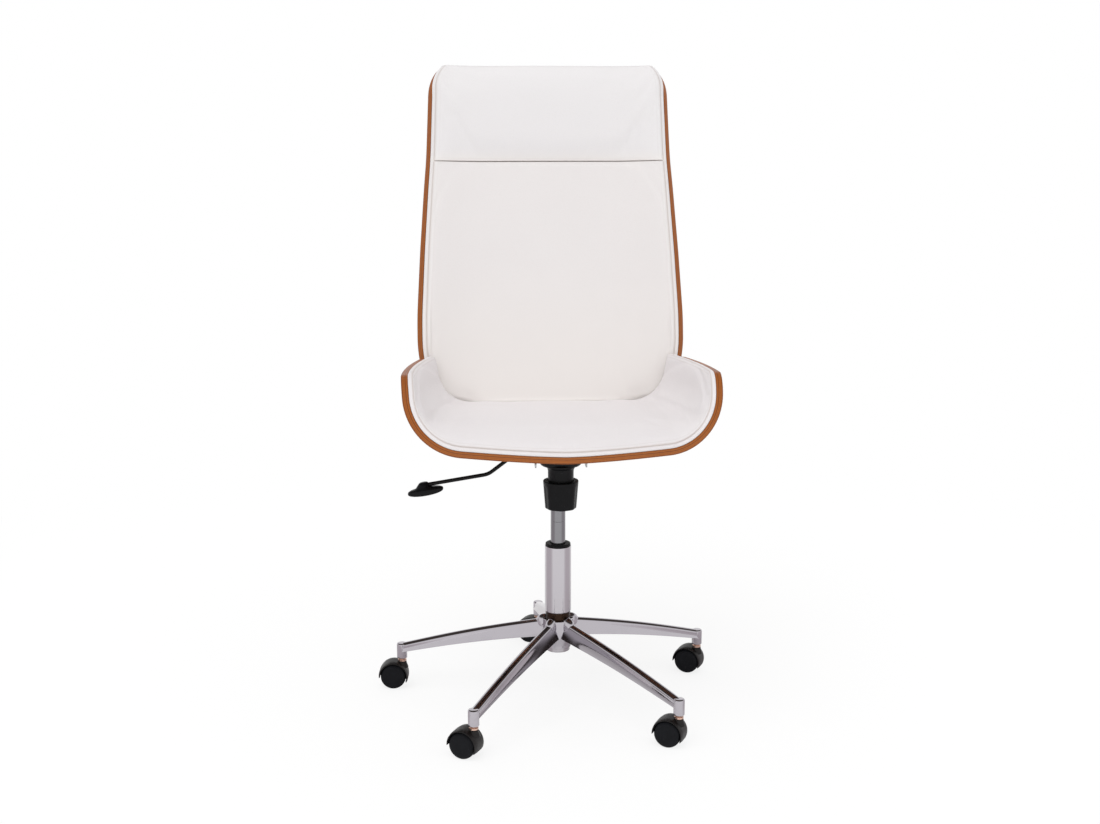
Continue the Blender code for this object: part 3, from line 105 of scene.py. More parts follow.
class Finish:
    """One surface finish: node() adds a node, and the other calls are made of it."""

    def __init__(self, name, holder=None, shader="Principled BSDF"):
        self.material = holder or bpy.data.materials.new(name)
        self.material.use_nodes = True
        self.tree = self.material.node_tree
        self.shader = self.tree.nodes[shader]

    def node(self, kind, settings, inputs, output=0):
        made = self.tree.nodes.new(kind)
        for key, value in settings.items():
            setattr(made, key, value)
        for key, value in inputs.items():
            if isinstance(value, Signal):
                self.tree.links.new(value.socket, made.inputs[key])
            else:
                made.inputs[key].default_value = value
        return Signal(self, made.outputs[output])

    def place(self):
        return self.node("ShaderNodeTexCoord", {}, {}, output="Object")

    def laid(self):
        """Where a point lies on its sheet: across it, along it and down into it, in metres; on a pad, the
        third part is its share of painted seam shade.
        """
        return self.node("ShaderNodeAttribute", {"attribute_name": "laid"}, {}, output="Vector")

    def stretch(self, vector, scale, shift=(0.0, 0.0, 0.0)):
        return self.node("ShaderNodeMapping", {},
                         {"Vector": vector, "Scale": scale, "Location": shift})

    def noise(self, vector, scale, detail=3.0, rough=0.5, bend=0.0):
        return self.node("ShaderNodeTexNoise", {},
                         {"Vector": vector, "Scale": scale, "Detail": detail, "Roughness": rough,
                          "Distortion": bend})

    def cells(self, vector, scale, feature="F1"):
        return self.node("ShaderNodeTexVoronoi", {"feature": feature},
                         {"Vector": vector, "Scale": scale})

    def mix(self, share, first, second):
        """Two colours mixed, given as red, green, blue or as signals."""
        tint = [value if isinstance(value, Signal) else (*value, 1.0) for value in (first, second)]
        return self.node("ShaderNodeMix", {"data_type": "RGBA"}, {0: share, 6: tint[0], 7: tint[1]},
                         output=2)

    def bump(self, height, depth):
        """Relief of a height from 0 to 1, depth in metres."""
        return self.node("ShaderNodeBump", {}, {"Strength": 1.0, "Distance": depth, "Height": height})

    def paint(self, **sockets):
        """Set or link the shader's sockets, named with _ for a space."""
        for key, value in sockets.items():
            socket = self.shader.inputs[key.replace("_", " ")]
            if isinstance(value, Signal):
                self.tree.links.new(value.socket, socket)
            elif hasattr(value, "__len__"):
                socket.default_value = (*value, 1.0)
            else:
                socket.default_value = value
        return self.material


def dress(finish, *nodes):
    """Give a finish to CAD nodes that show in their own shape."""
    for node in nodes:
        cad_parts[node].material_slots[0].material = finish


def linked(name, data):
    """A new object of the scene that holds the data."""
    obj = bpy.data.objects.new(name, data)
    bpy.context.scene.collection.objects.link(obj)
    return obj


def between(ends, share):
    """Value at a share of the way from the first end to the second."""
    return ends[0] + (ends[1] - ends[0]) * share


def circle(count):
    """Even angles once round, in a row."""
    return np.linspace(0.0, 2 * math.pi, count, endpoint=False)[None, :]


def grid_quads(rows, cols, wrap_rows=False, wrap_cols=False):
    """Quads of a grid of points numbered row by row; a wrapped side joins its first line again."""
    a, b = np.meshgrid(np.arange(rows - (not wrap_rows)), np.arange(cols - (not wrap_cols)),
                       indexing="ij")
    a_next, b_next = (a + 1) % rows, (b + 1) % cols
    corners = [a * cols + b, a * cols + b_next, a_next * cols + b_next, a_next * cols + b]
    return np.stack(corners, -1).reshape(-1, 4)


def make_piece(name, parts, body, finish, slot, *nodes, crease_deg=40.0, laid=None):
    """One object from (points, faces) parts, its doubles merged and its faces turned outwards.
    It rides on the body and stands for the nodes, and laid goes along for the finish."""
    points = [part.reshape(-1, 3) for part, faces in parts]
    starts = np.cumsum([0] + [len(part) for part in points])
    faces = [[int(i) + start for i in face]
             for (part, part_faces), start in zip(parts, starts) for face in part_faces]
    mesh = bpy.data.meshes.new(name)
    mesh.from_pydata(np.concatenate(points).tolist(), [], faces)
    if laid is not None:
        layer = mesh.attributes.new("laid", "FLOAT_VECTOR", "POINT")
        layer.data.foreach_set("vector", np.ascontiguousarray(laid, np.float32).ravel())
    bm = bmesh.new()
    bm.from_mesh(mesh)
    bmesh.ops.remove_doubles(bm, verts=bm.verts, dist=1e-6)
    bmesh.ops.dissolve_degenerate(bm, edges=bm.edges, dist=1e-7)
    bmesh.ops.recalc_face_normals(bm, faces=bm.faces)
    bm.to_mesh(mesh)
    bm.free()
    mesh.shade_smooth()
    mesh.set_sharp_from_angle(angle=math.radians(crease_deg))
    mesh.materials.append(finish)
    obj = linked(name, mesh)
    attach(obj, body)
    if nodes:
        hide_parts(*nodes)
    return obj


def soften(profile, radius, closed=False, steps=5):
    """A profile with each corner rounded: the corner P is cut back along both its sides by
    radius, or by 45% of a shorter side, and a quadratic curve A(1-t)^2 + 2Pt(1-t) + Bt^2
    runs between the cuts. The ends of an open profile stay where they are."""
    p = np.array(profile, float)
    before, after = np.roll(p, 1, 0) - p, np.roll(p, -1, 0) - p
    long_before = np.linalg.norm(before, axis=1, keepdims=True)
    long_after = np.linalg.norm(after, axis=1, keepdims=True)
    cut = np.minimum(radius, 0.45 * np.minimum(long_before, long_after))
    if not closed:
        cut[[0, -1]] = 0.0
    a, b = p + before / long_before * cut, p + after / long_after * cut
    t = np.linspace(0.0, 1.0, steps)[:, None, None]
    return (a * (1 - t) ** 2 + 2 * p * t * (1 - t) + b * t ** 2).transpose(1, 0, 2).reshape(-1, 2)


def turned(profile, closed=False, sides=SIDES, centre=(0.0, 0.0)):
    """Body of revolution: a point (r, z) goes to (r cos a, r sin a, z) for a full circle of a."""
    p, a = np.array(profile, float), circle(sides)
    points = np.stack([p[:, :1] * np.cos(a) + centre[0], p[:, :1] * np.sin(a) + centre[1],
                       np.repeat(p[:, 1:], sides, 1)], -1)
    return points, grid_quads(len(p), sides, wrap_rows=closed, wrap_cols=True)


def swept(rows):
    """Skin over closed sections, one in each row of a grid of points, with both ends shut."""
    stations, around = rows.shape[:2]
    last = (stations - 1) * around
    caps = [np.arange(around), np.arange(last, last + around)]
    return rows, [*grid_quads(stations, around, wrap_cols=True), *caps]


def spun(points, angle):
    """Points turned about the vertical axis by an angle."""
    c, s = math.cos(angle), math.sin(angle)
    return points @ np.array([[c, s, 0.0], [-s, c, 0.0], [0.0, 0.0, 1.0]])


def chrome(name, tint, rough=0.06, wave=0.00006):
    """Bright plating over pressed or drawn steel, a little uneven, with faint finger marks."""
    f = Finish(name)
    place = f.place()
    marks = f.noise(place, 26.0, 5.0, 0.6).step(0.45, 0.80)
    haze = f.noise(place, 140.0, 2.0)
    ripple = f.noise(place, 34.0, 2.0) + 0.10 * f.noise(place, 900.0, 1.0)
    shade = f.mix(0.30 * marks, tint, tuple(0.86 * c for c in tint))
    return f.paint(Base_Color=shade, Metallic=1.0, Roughness=rough + 0.07 * marks + 0.03 * haze,
                   Normal=f.bump(ripple, wave))


def leg_points(stations=44, arc_steps=13, flank_steps=9):
    """Leg along +X. Its section is half an ellipse over the ridge, then a flank that runs
    straight to the foot with a slight hollow, and the same wall a sheet's thickness inside.
    Width, depth and height change evenly with the share s of the way to the tip, and the
    ridge also rises by the arch times sin(pi s)."""
    s = np.linspace(0.0, 1.0, stations)[:, None]
    ridge, foot = between(LEG_RIDGE_W, s) / 2, between(LEG_FOOT_W, s) / 2
    depth, top = between(LEG_DEPTH, s), between(LEG_TOP, s) + LEG_ARCH * np.sin(math.pi * s)
    turn = np.radians(np.linspace(0.0, LEG_ARC_DEG, arc_steps))[None, :]
    arc_y, arc_z = ridge * np.sin(turn), -LEG_CROWN * ridge * (1 - np.cos(turn))
    f = np.linspace(0.0, 1.0, flank_steps)[None, 1:]
    flank_y = between((arc_y[:, -1:], foot), f) - LEG_HOLLOW * np.sin(math.pi * f)
    flank_z = between((arc_z[:, -1:], -depth), f)
    half_y, half_z = np.hstack([arc_y, flank_y]), np.hstack([arc_z, flank_z])
    outer_y = np.hstack([-half_y[:, :0:-1], half_y])
    outer_z = np.hstack([half_z[:, :0:-1], half_z])
    run = np.stack([np.gradient(outer_y, axis=1), np.gradient(outer_z, axis=1)], -1)
    run /= np.linalg.norm(run, axis=-1, keepdims=True)
    inner_y, inner_z = outer_y + run[..., 1] * LEG_WALL, outer_z - run[..., 0] * LEG_WALL
    y = np.hstack([outer_y, inner_y[:, ::-1]])
    z = np.hstack([outer_z, inner_z[:, ::-1]]) + top
    x = np.broadcast_to(between((HUB_R - LEG_SINK, STEM_CIRCLE_R), s), y.shape)
    return np.stack([x, y, z], -1)


def knuckle(rows=15, cols=28):
    """Rounded root of a leg: an ellipsoid beside the hub, cut off flat inside the tube's wall."""
    p, a = np.linspace(0.0, math.pi, rows)[:, None], circle(cols)
    ball = (np.sin(p) * np.cos(a), np.sin(p) * np.sin(a), np.cos(p))
    points = np.stack(np.broadcast_arrays(*ball), -1) * np.array(KNUCKLE_SIZE) + np.array(KNUCKLE_PLACE)
    points[..., 0] = np.maximum(points[..., 0], KNUCKLE_STOP)
    return points, grid_quads(rows, cols, wrap_cols=True)


base_chrome = chrome("base_chrome", (0.49, 0.465, 0.50))
hub = soften([(HUB_BORE_R[1], HUB_HIGH), (HUB_R, HUB_HIGH), (HUB_R, HUB_WAIST),
              (HUB_FOOT_R, HUB_LOW + 0.006), (HUB_FOOT_R, HUB_LOW), (HUB_BORE_R[0], HUB_LOW)],
             0.0007, True)
make_piece("hub_of_base", [turned(hub, True)], "base", base_chrome, "base_chrome", "base_hub")
socket = soften([(0.0, SOCKET_HIGH), (SOCKET_R, SOCKET_HIGH), (SOCKET_R, SOCKET_LOW),
                 (SOCKET_BORE_R, SOCKET_LOW), (SOCKET_BORE_R, SOCKET_BORE_HIGH),
                 (0.0, SOCKET_BORE_HIGH)], 0.0030)
leg_parts = [swept(leg_points()), turned(socket, sides=48, centre=(STEM_CIRCLE_R, 0.0)), knuckle()]
LEG_ANGLES = [math.radians(FIRST_LEG_DEG + 360.0 / LEGS * i) for i in range(LEGS)]
for n, angle in enumerate(LEG_ANGLES, 1):
    placed = [(spun(points, angle), faces) for points, faces in leg_parts]
    make_piece(f"leg_{n}_of_base", placed, "base", base_chrome, "base_chrome", f"base_leg_{n}")

# Casters
# A zinc-plated stem with a collar, a moulded hood whose middle web carries the axle, and
# two solid plastic wheels with smooth outer faces.

WHEEL_R = 0.025 * math.cos(math.pi / 20)    # to the flats of the CAD wheel's 20 sides
WHEEL_IN, WHEEL_OUT = 0.0048, 0.0198
WHEEL_FACE_R, WHEEL_RIM_IN_R, WHEEL_HUB_R = 0.0205, 0.0200, 0.0080
WHEEL_HOLLOW = 0.0040       # depth of the ring between its hub and its rim, on the inner face
AXLE_BORE_R = 0.0034
TRAIL = 0.017               # the axle's distance behind the stem
TRAIL_DEG = [153.5, 153.5, 176.5, 153.5, 153.5]
HOOD_IN_R, HOOD_OUT_R = 0.0258, 0.0290
HOOD_HALF_W, HOOD_CROWN = 0.0180, 0.0011
HOOD_FLAT = 0.55            # flat share of the hood's width, between its rounded sides
HOOD_TIP = 0.0016           # length over which the hood's ends draw in
HOOD_FROM_DEG, HOOD_TO_DEG = -24.0, 184.0
WEB_R = HOOD_IN_R + 0.0012  # the web ends inside the band
WEB_HALF, WEB_FOOT_R = 0.0038, 0.0090
WEB_IN_DEG, WEB_FOOT_DEG = 4.0, (234.0, 306.0)
BOSS_R, BOSS_FLARE = 0.0088, 0.0034
BOSS_LOW, BOSS_NECK, BOSS_HIGH = 0.0400, 0.0490, 0.0528


def moulded(name, tint=(0.0050, 0.0050, 0.0058), rough=0.42, gloss=0.13):
    """Black moulded plastic: fine spark-eroded grain, and a duller bloom here and there."""
    f = Finish(name)
    place = f.place()
    bloom = f.noise(place, 60.0, 4.0, 0.6)
    pits = f.noise(place, 3200.0, 2.0)
    shade = f.mix(bloom.step(0.4, 0.8), tint, tuple(1.5 * c for c in tint))
    return f.paint(Base_Color=shade, Roughness=rough + 0.14 * bloom, Specular_IOR_Level=gloss,
                   Normal=f.bump(pits, 0.00002))


def zinc(name, tint, rough):
    """Plated steel with a fine turned or drawn grain."""
    f = Finish(name)
    place = f.place()
    lines = f.noise(f.stretch(place, (1.0, 1.0, 40.0)), 60.0, 3.0)
    darkening = f.noise(place, 90.0, 3.0)
    shade = f.mix(darkening, tint, tuple(0.78 * c for c in tint))
    return f.paint(Base_Color=shade, Metallic=1.0, Roughness=rough + 0.12 * lines,
                   Normal=f.bump(lines, 0.00002))


def hood_cover(stations=64):
    """Arched band: a rounded slab section, swept about the axle at angle a. Towards both
    ends the section draws in to a soft tip, by the square root of 1 minus the square."""
    slab = soften([(HOOD_IN_R, -HOOD_HALF_W), (HOOD_OUT_R - HOOD_CROWN, -HOOD_HALF_W),
                   (HOOD_OUT_R, -HOOD_HALF_W * HOOD_FLAT), (HOOD_OUT_R, HOOD_HALF_W * HOOD_FLAT),
                   (HOOD_OUT_R - HOOD_CROWN, HOOD_HALF_W), (HOOD_IN_R, HOOD_HALF_W)], 0.0022, True)
    a = np.radians(np.linspace(HOOD_FROM_DEG, HOOD_TO_DEG, stations))[:, None]
    near_end = np.minimum(a - a[0], a[-1] - a) * HOOD_OUT_R / HOOD_TIP
    share = np.sqrt(np.clip(1 - np.clip(1 - near_end, 0.0, 1.0) ** 2, 0.04, 1.0))
    middle = (HOOD_IN_R + HOOD_OUT_R) / 2
    r = middle + (slab[:, 0] - middle) * share
    y = np.broadcast_to(slab[:, 1], r.shape)
    return swept(np.stack([r * np.cos(a) - TRAIL, y, r * np.sin(a) + WHEEL_R], -1))


def plate(outline, low, high, edge, upright):
    """Flat plate with a bevelled rim between two distances along one axis: the outline is
    drawn in towards its middle by the edge on both faces."""
    line = np.array(outline, float)
    middle = line.mean(0)
    away = np.linalg.norm(line - middle, axis=1, keepdims=True)
    small = middle + (line - middle) * (1 - edge / away)
    levels = [(small, low), (line, low + edge), (line, high - edge), (small, high)]
    rows = [np.insert(ring, upright, height, axis=1) for ring, height in levels]
    return swept(np.stack(rows))


def hood_web():
    """Middle web inside the band, from the axle's boss up to the band."""
    over = np.linspace(HOOD_FROM_DEG + WEB_IN_DEG, HOOD_TO_DEG - WEB_IN_DEG, 40)
    a = np.radians(np.concatenate([over, np.linspace(*WEB_FOOT_DEG, 14)]))
    r = np.repeat([WEB_R, WEB_FOOT_R], [40, 14])
    outline = np.stack([r * np.cos(a) - TRAIL, r * np.sin(a) + WHEEL_R], -1)
    return plate(outline, -WEB_HALF, WEB_HALF, 0.0005, 1)


def hood_boss():
    """Collar that the stem is pressed into, flared where it grows out of the band. Its foot
    is lifted onto the band's middle surface, so that it stays clear of the wheels."""
    line = [(0.0, BOSS_HIGH), (BOSS_R - 0.0004, BOSS_HIGH), (BOSS_R, BOSS_NECK),
            (BOSS_R + BOSS_FLARE, BOSS_LOW), (0.0, BOSS_LOW)]
    points, quads = turned(soften(line, 0.0012), sides=48)
    across = np.clip((points[..., 0] + TRAIL) / HOOD_IN_R, -1.0, 1.0)
    band = WHEEL_R + (HOOD_IN_R + 0.0010) * np.sqrt(1 - across ** 2)
    points[..., 2] = np.maximum(points[..., 2], np.minimum(band, BOSS_HIGH - 0.0006))
    return points, quads


hood_parts = [hood_cover(), hood_web(), hood_boss()]
hood_plastic = moulded("hood_plastic", (0.0080, 0.0064, 0.0064), 0.32, gloss=0.26)
wheel_plastic = moulded("wheel_plastic", (0.0050, 0.0054, 0.0070), 0.46)
stem_zinc = zinc("stem_zinc", (0.76, 0.52, 0.42), 0.26)
axle_zinc = zinc("axle_zinc", (0.55, 0.55, 0.56), 0.26)
wheel_profile = soften([(0.0, WHEEL_OUT), (0.0150, WHEEL_OUT - 0.0002), (WHEEL_FACE_R, WHEEL_OUT - 0.0009),
                        (WHEEL_R - 0.0006, WHEEL_OUT - 0.0042), (WHEEL_R, WHEEL_OUT - 0.0075),
                        (WHEEL_R, WHEEL_IN + 0.0012), (WHEEL_R - 0.0012, WHEEL_IN),
                        (WHEEL_RIM_IN_R + 0.0005, WHEEL_IN), (WHEEL_RIM_IN_R, WHEEL_IN + WHEEL_HOLLOW),
                        (WHEEL_HUB_R, WHEEL_IN + WHEEL_HOLLOW), (WHEEL_HUB_R - 0.0005, WHEEL_IN),
                        (AXLE_BORE_R, WHEEL_IN), (AXLE_BORE_R, WHEEL_OUT - 0.0022),
                        (0.0, WHEEL_OUT - 0.0022)], 0.0016)
wheel_points, wheel_quads = turned(wheel_profile, sides=80)
x, y, z = np.moveaxis(wheel_points, -1, 0)
for n, (angle, trail_deg) in enumerate(zip(LEG_ANGLES, TRAIL_DEG), 1):
    foot = np.array([STEM_CIRCLE_R * math.cos(angle), STEM_CIRCLE_R * math.sin(angle), 0.0])
    heading = math.radians(trail_deg + 180.0)
    placed = [(spun(points, heading) + foot, faces) for points, faces in hood_parts]
    make_piece(f"hood_of_caster_{n}", placed, f"caster_{n}", hood_plastic, "caster_plastic",
               f"caster_hood_{n}")
    for side, turn in (("left", 1.0), ("right", -1.0)):
        upright = np.stack([x - TRAIL, turn * z, WHEEL_R - turn * y], -1)
        make_piece(f"wheel_{n}_{side}_of_caster", [(spun(upright, heading) + foot, wheel_quads)],
                   f"wheel_body_{n}_{side}", wheel_plastic, "wheel_plastic", f"wheel_{n}_{side}")
    dress(stem_zinc, f"caster_stem_{n}")
    dress(axle_zinc, f"caster_axle_{n}")

# Gas lift
# A chromed outer tube wedged by its taper into the hub, a plastic guide bush in its mouth,
# and a bright cylinder that slides in it. The taper is drawn dark brown as painted shade.

COLUMN_R, COLUMN_BORE_R = 0.025, 0.023
COLUMN_TOP, COLUMN_SHOULDER, COLUMN_FLOOR, COLUMN_FOOT = 0.306, 0.177, 0.105, 0.099
TAPER_TOP_R, TAPER_FOOT_R, TAPER_WALL = 0.0238, 0.0226, 0.002
BUSH_LIP_R, BUSH_FOOT, BUSH_TOP = 0.0238, 0.226, 0.311
CYLINDER_R, CYLINDER_NOSE_R, CYLINDER_BORE_R, VALVE_BORE_R = 0.014, 0.0132, 0.0115, 0.0044
CYLINDER_FOOT, CYLINDER_FLOOR, CYLINDER_HEAD = 0.218, 0.227, 0.444
VALVE_FLOOR, CYLINDER_TOP = 0.474, 0.484
CYLINDER_LINE_Z = 0.3545    # fine groove round the cylinder
LIFT_BORE_R = 0.0054        # of the tube's floor and the cylinder's foot, round the rod
LIFT_CHROME = (0.53, 0.505, 0.535)
BRIGHT_FOOT = (0.114, 0.120)            # the tube's foot is bright up to here
GAP, RUN = 0.0003, 0.0004   # clearances of a seat and of a sliding fit


def column_chrome():
    """Chrome above the shoulder and at the foot, and dark brown painted shade on the taper between."""
    f = Finish("column_chrome")
    place = f.place()
    height = place.part(2)
    unshaded = height.step(COLUMN_SHOULDER - 0.0004, COLUMN_SHOULDER + 0.0006)
    unshaded = unshaded + 1 - height.step(*BRIGHT_FOOT)
    drawn = f.noise(f.stretch(place, (60.0, 60.0, 1.2)), 9.0, 3.0)
    marks = f.noise(place, 22.0, 5.0, 0.6).step(0.45, 0.8)
    # Painted shade: the taper between the chromed parts is drawn dark brown.
    shade = f.mix(unshaded, (0.038, 0.022, 0.015), LIFT_CHROME)
    rough = 0.22 - 0.14 * unshaded + 0.06 * marks + 0.03 * drawn
    return f.paint(Base_Color=shade, Metallic=1.0, Roughness=rough, Normal=f.bump(drawn, 0.00003))


column = soften([(COLUMN_BORE_R, COLUMN_TOP), (COLUMN_R, COLUMN_TOP), (COLUMN_R, COLUMN_SHOULDER + 0.0012),
                 (TAPER_TOP_R, COLUMN_SHOULDER), (TAPER_FOOT_R, COLUMN_FOOT), (LIFT_BORE_R, COLUMN_FOOT),
                 (LIFT_BORE_R, COLUMN_FLOOR), (TAPER_FOOT_R - TAPER_WALL, COLUMN_FLOOR),
                 (TAPER_TOP_R - TAPER_WALL, COLUMN_SHOULDER), (COLUMN_BORE_R, COLUMN_SHOULDER + 0.004)],
                0.0008, True)
make_piece("outer_tube", [turned(column, True)], "base", column_chrome(), "column_chrome", "column_tube")
bush = soften([(CYLINDER_R + RUN, BUSH_TOP), (BUSH_LIP_R, BUSH_TOP), (BUSH_LIP_R, COLUMN_TOP + GAP),
               (COLUMN_BORE_R - GAP, COLUMN_TOP + GAP), (COLUMN_BORE_R - GAP, BUSH_FOOT),
               (CYLINDER_R + RUN, BUSH_FOOT)], 0.0016, True)
make_piece("guide_bush", [turned(bush, True)], "base", moulded("bush_plastic"), "bush_plastic",
           "column_bush")
cylinder = soften([(0.0, VALVE_FLOOR), (VALVE_BORE_R, VALVE_FLOOR), (VALVE_BORE_R, CYLINDER_TOP),
                   (CYLINDER_NOSE_R, CYLINDER_TOP), (CYLINDER_R, CYLINDER_HEAD),
                   (CYLINDER_R, CYLINDER_LINE_Z + 0.0004), (CYLINDER_R - 0.0003, CYLINDER_LINE_Z),
                   (CYLINDER_R, CYLINDER_LINE_Z - 0.0004), (CYLINDER_R, CYLINDER_FOOT),
                   (LIFT_BORE_R, CYLINDER_FOOT), (LIFT_BORE_R, CYLINDER_FLOOR),
                   (CYLINDER_BORE_R, CYLINDER_FLOOR), (CYLINDER_BORE_R, CYLINDER_HEAD),
                   (0.0, CYLINDER_HEAD)], 0.0006)
make_piece("lift_cylinder", [turned(cylinder, sides=72)], "lift",
           chrome("cylinder_chrome", (0.255, 0.252, 0.266), 0.10, 0.00002), "cylinder_chrome", "gas_cylinder")
dress(zinc("bright_steel", (0.56, 0.56, 0.58), 0.22), "piston_rod", "rod_clip", "thrust_bearing",
      "valve_button")

# Tilt mechanism
# A pressed tray with a welded lift socket and spring tube and the seat plate with its ears,
# in black powder coat. The cross pins and the bolt, spring and washer inside are bare steel.

PULL_Y = -0.075
TUBE_R, TUBE_WALL, TUBE_LOW = 0.0235, 0.002, 0.432      # the spring tube
LIFT_SOCKET_R, LIFT_SOCKET_LOW, LIFT_SOCKET_TOP = 0.0174, 0.449, 0.4835
TUBE_WELD, LIFT_SOCKET_WELD = 0.0045, 0.0030
TRAY_FOOT, TRAY_TOP = 0.4775, 0.507
TRAY_RIM = ((-0.063, -0.048, -0.002, 0.058), (0.4875, 0.507, 0.507, 0.4865))    # y and height
TRAY_FRONT, TRAY_BACK, TRAY_HALF = -0.1010, 0.058, 0.039
TRAY_FRONT_R, TRAY_BACK_R, TRAY_EDGE_R = 0.030, 0.012, 0.0095
TRAY_WALL = 0.0025
EAR_X, EAR_Y, EAR_T, EAR_HALF = 0.0463, -0.0562, 0.0024, 0.031
EAR_TIP, EAR_TOP = 0.4768, 0.4900


def powder_coat(name, tint=(0.0045, 0.0045, 0.0052), rough=0.36):
    """Black baked powder: a fine orange-peel skin over steel, with lighter worn dust."""
    f = Finish(name)
    place = f.place()
    peel = f.noise(place, 700.0, 2.0)
    dust = f.noise(place, 48.0, 4.0, 0.6).step(0.5, 0.85)
    shade = f.mix(0.5 * dust, tint, tuple(2.4 * c for c in tint))
    return f.paint(Base_Color=shade, Roughness=rough + 0.16 * dust + 0.05 * peel,
                   Specular_IOR_Level=0.16, Normal=f.bump(peel, 0.00004))


def rounded_box(half, front, back, front_r, back_r, steps=13):
    """Closed outline of a box in plan with two radii, once round from its front left."""
    turn = np.linspace(0.0, math.pi / 2, steps)
    corners = [(-half + front_r, front + front_r, front_r, math.pi),
               (half - front_r, front + front_r, front_r, 1.5 * math.pi),
               (half - back_r, back - back_r, back_r, 0.0),
               (-half + back_r, back - back_r, back_r, 0.5 * math.pi)]
    return np.concatenate([np.stack([x + r * np.cos(a + turn), y + r * np.sin(a + turn)], -1)
                           for x, y, r, a in corners])


def drawn_tray():
    """Tray drawn from sheet: its outline goes in round the bottom edge on a quarter circle,
    and comes back inside at the sheet's thickness. Both ends of the skin meet at the rim,
    which is high at the axle alone, and lower in front of it and behind."""
    def bend(wall, radius, angles):
        return [(wall + radius * (1 - math.cos(a)), TRAY_FOOT + wall + radius * (1 - math.sin(a)))
                for a in angles]

    angles = np.linspace(0.0, math.pi / 2, 7)
    levels = [(0.0, TRAY_TOP), *bend(0.0, TRAY_EDGE_R, angles), (0.5 * TRAY_HALF, TRAY_FOOT),
              (0.5 * TRAY_HALF, TRAY_FOOT + TRAY_WALL),
              *bend(TRAY_WALL, TRAY_EDGE_R - TRAY_WALL, angles[::-1]), (TRAY_WALL, TRAY_TOP)]
    rows = []
    for inset, z in levels:
        ring = rounded_box(TRAY_HALF - inset, TRAY_FRONT + inset, TRAY_BACK - inset,
                           max(TRAY_FRONT_R - inset, 0.004), max(TRAY_BACK_R - inset, 0.004))
        side = np.stack([np.full(3, TRAY_HALF - inset), TRAY_RIM[0][:3]], -1)
        front, back = np.split(ring, 2)
        ring = np.concatenate([front, side, back, side[::-1] * [-1, 1]])
        rows.append(np.insert(ring, 2, np.minimum(z, np.interp(ring[:, 1], *TRAY_RIM)), axis=1))
    points = np.stack(rows)
    return points, grid_quads(*points.shape[:2], wrap_rows=True, wrap_cols=True)


def pipe(radius, bore, low, high, y, flare):
    """Short pipe welded under the tray, with a fillet of weld up to the tray's floor."""
    line = [(bore, high), (radius + flare, high), (radius + flare, TRAY_FOOT + 0.0004),
            (radius + 0.25 * flare, TRAY_FOOT - 0.65 * flare), (radius, TRAY_FOOT - 1.8 * flare),
            (radius, low), (bore, low)]
    return turned(soften(line, 0.0012, True), True, 72, (0.0, y))


black_steel = powder_coat("black_steel")
pin_steel = zinc("pin_steel", (0.50, 0.50, 0.51), 0.28)
dress(black_steel, "seat_plate", "lever_rocker")
dress(pin_steel, "tilt_axle", "pull_pin", "tension_bolt", "spring_washer")
dress(zinc("spring_steel", (0.17, 0.17, 0.18), 0.30), "tension_spring")
spring_tube = pipe(TUBE_R, TUBE_R - TUBE_WALL, TUBE_LOW, TRAY_FOOT + 0.004, PULL_Y, TUBE_WELD)
lift_socket = pipe(LIFT_SOCKET_R, CYLINDER_R + GAP, LIFT_SOCKET_LOW, LIFT_SOCKET_TOP, 0.0, LIFT_SOCKET_WELD)
make_piece("tray", [drawn_tray(), spring_tube, lift_socket], "lift", black_steel, "black_steel",
           "mechanism_housing")
ear = rounded_box(EAR_HALF, EAR_TIP, EAR_TOP, 0.004, 0.001)
for side, name in ((-1, "left"), (1, "right")):
    outer, inner = sorted((side * EAR_X - EAR_T / 2, side * EAR_X + EAR_T / 2))
    points, quads = plate(ear, outer, inner, 0.0003, 0)
    points[..., 1] += EAR_Y
    make_piece(f"ear_tip_{name}", [(points, quads)], "seat", pin_steel, "black_steel")

# Tension knob
# A moulded cup that slides over the spring tube, with eight shallow flutes for the hand.

KNOB_TOP, KNOB_FOOT = 0.4512, 0.3995
KNOB_TOP_R, KNOB_FOOT_R, KNOB_CUP_R = 0.0325, 0.0285, 0.0243
KNOB_FLOOR, KNOB_BORE_R = 0.0110, 0.0044
KNOB_FLUTES, KNOB_FLUTE_DEPTH, KNOB_FLUTE_FADE, KNOB_FLUTE_POWER = 8, 0.0013, 0.006, 1.4


def knob_body(sides=192):
    """A turned cup whose outside is drawn in at eight angles: the radius loses the flute's
    depth times a power of (1 - cos 8a) / 2, which fades out below the rim at the top."""
    outside = soften([(KNOB_BORE_R - 0.0004, KNOB_FOOT), (KNOB_FOOT_R, KNOB_FOOT), (KNOB_TOP_R, KNOB_TOP),
                      (KNOB_CUP_R, KNOB_TOP)], 0.0015, steps=9)[1:-1]
    split = len(outside) // 2
    side = between(outside[split - 1:split + 1], np.linspace(0.0, 1.0, 12)[1:-1, None])
    outside = np.vstack([outside[:split], side, outside[split:]])
    inside = np.array([[KNOB_CUP_R, KNOB_TOP], [KNOB_CUP_R, KNOB_FOOT + KNOB_FLOOR],
                       [KNOB_BORE_R, KNOB_FOOT + KNOB_FLOOR], [KNOB_BORE_R, KNOB_FOOT]])
    points, quads = turned(np.vstack([outside, inside]), True, sides, (0.0, PULL_Y))
    flute = ((1 - np.cos(KNOB_FLUTES * circle(sides))) / 2) ** KNOB_FLUTE_POWER
    fade = np.clip((KNOB_TOP - KNOB_FLUTE_FADE - points[..., 2]) / KNOB_FLUTE_FADE, 0.0, 1.0)
    fade[len(outside):] = 0.0
    shrink = 1 - KNOB_FLUTE_DEPTH * flute * fade / KNOB_FOOT_R
    points[..., 0] *= shrink
    points[..., 1] = PULL_Y + (points[..., 1] - PULL_Y) * shrink
    return points, quads


make_piece("hand_knob", [knob_body()], "knob", moulded("knob_plastic", rough=0.34), "knob_plastic",
           "tension_knob")

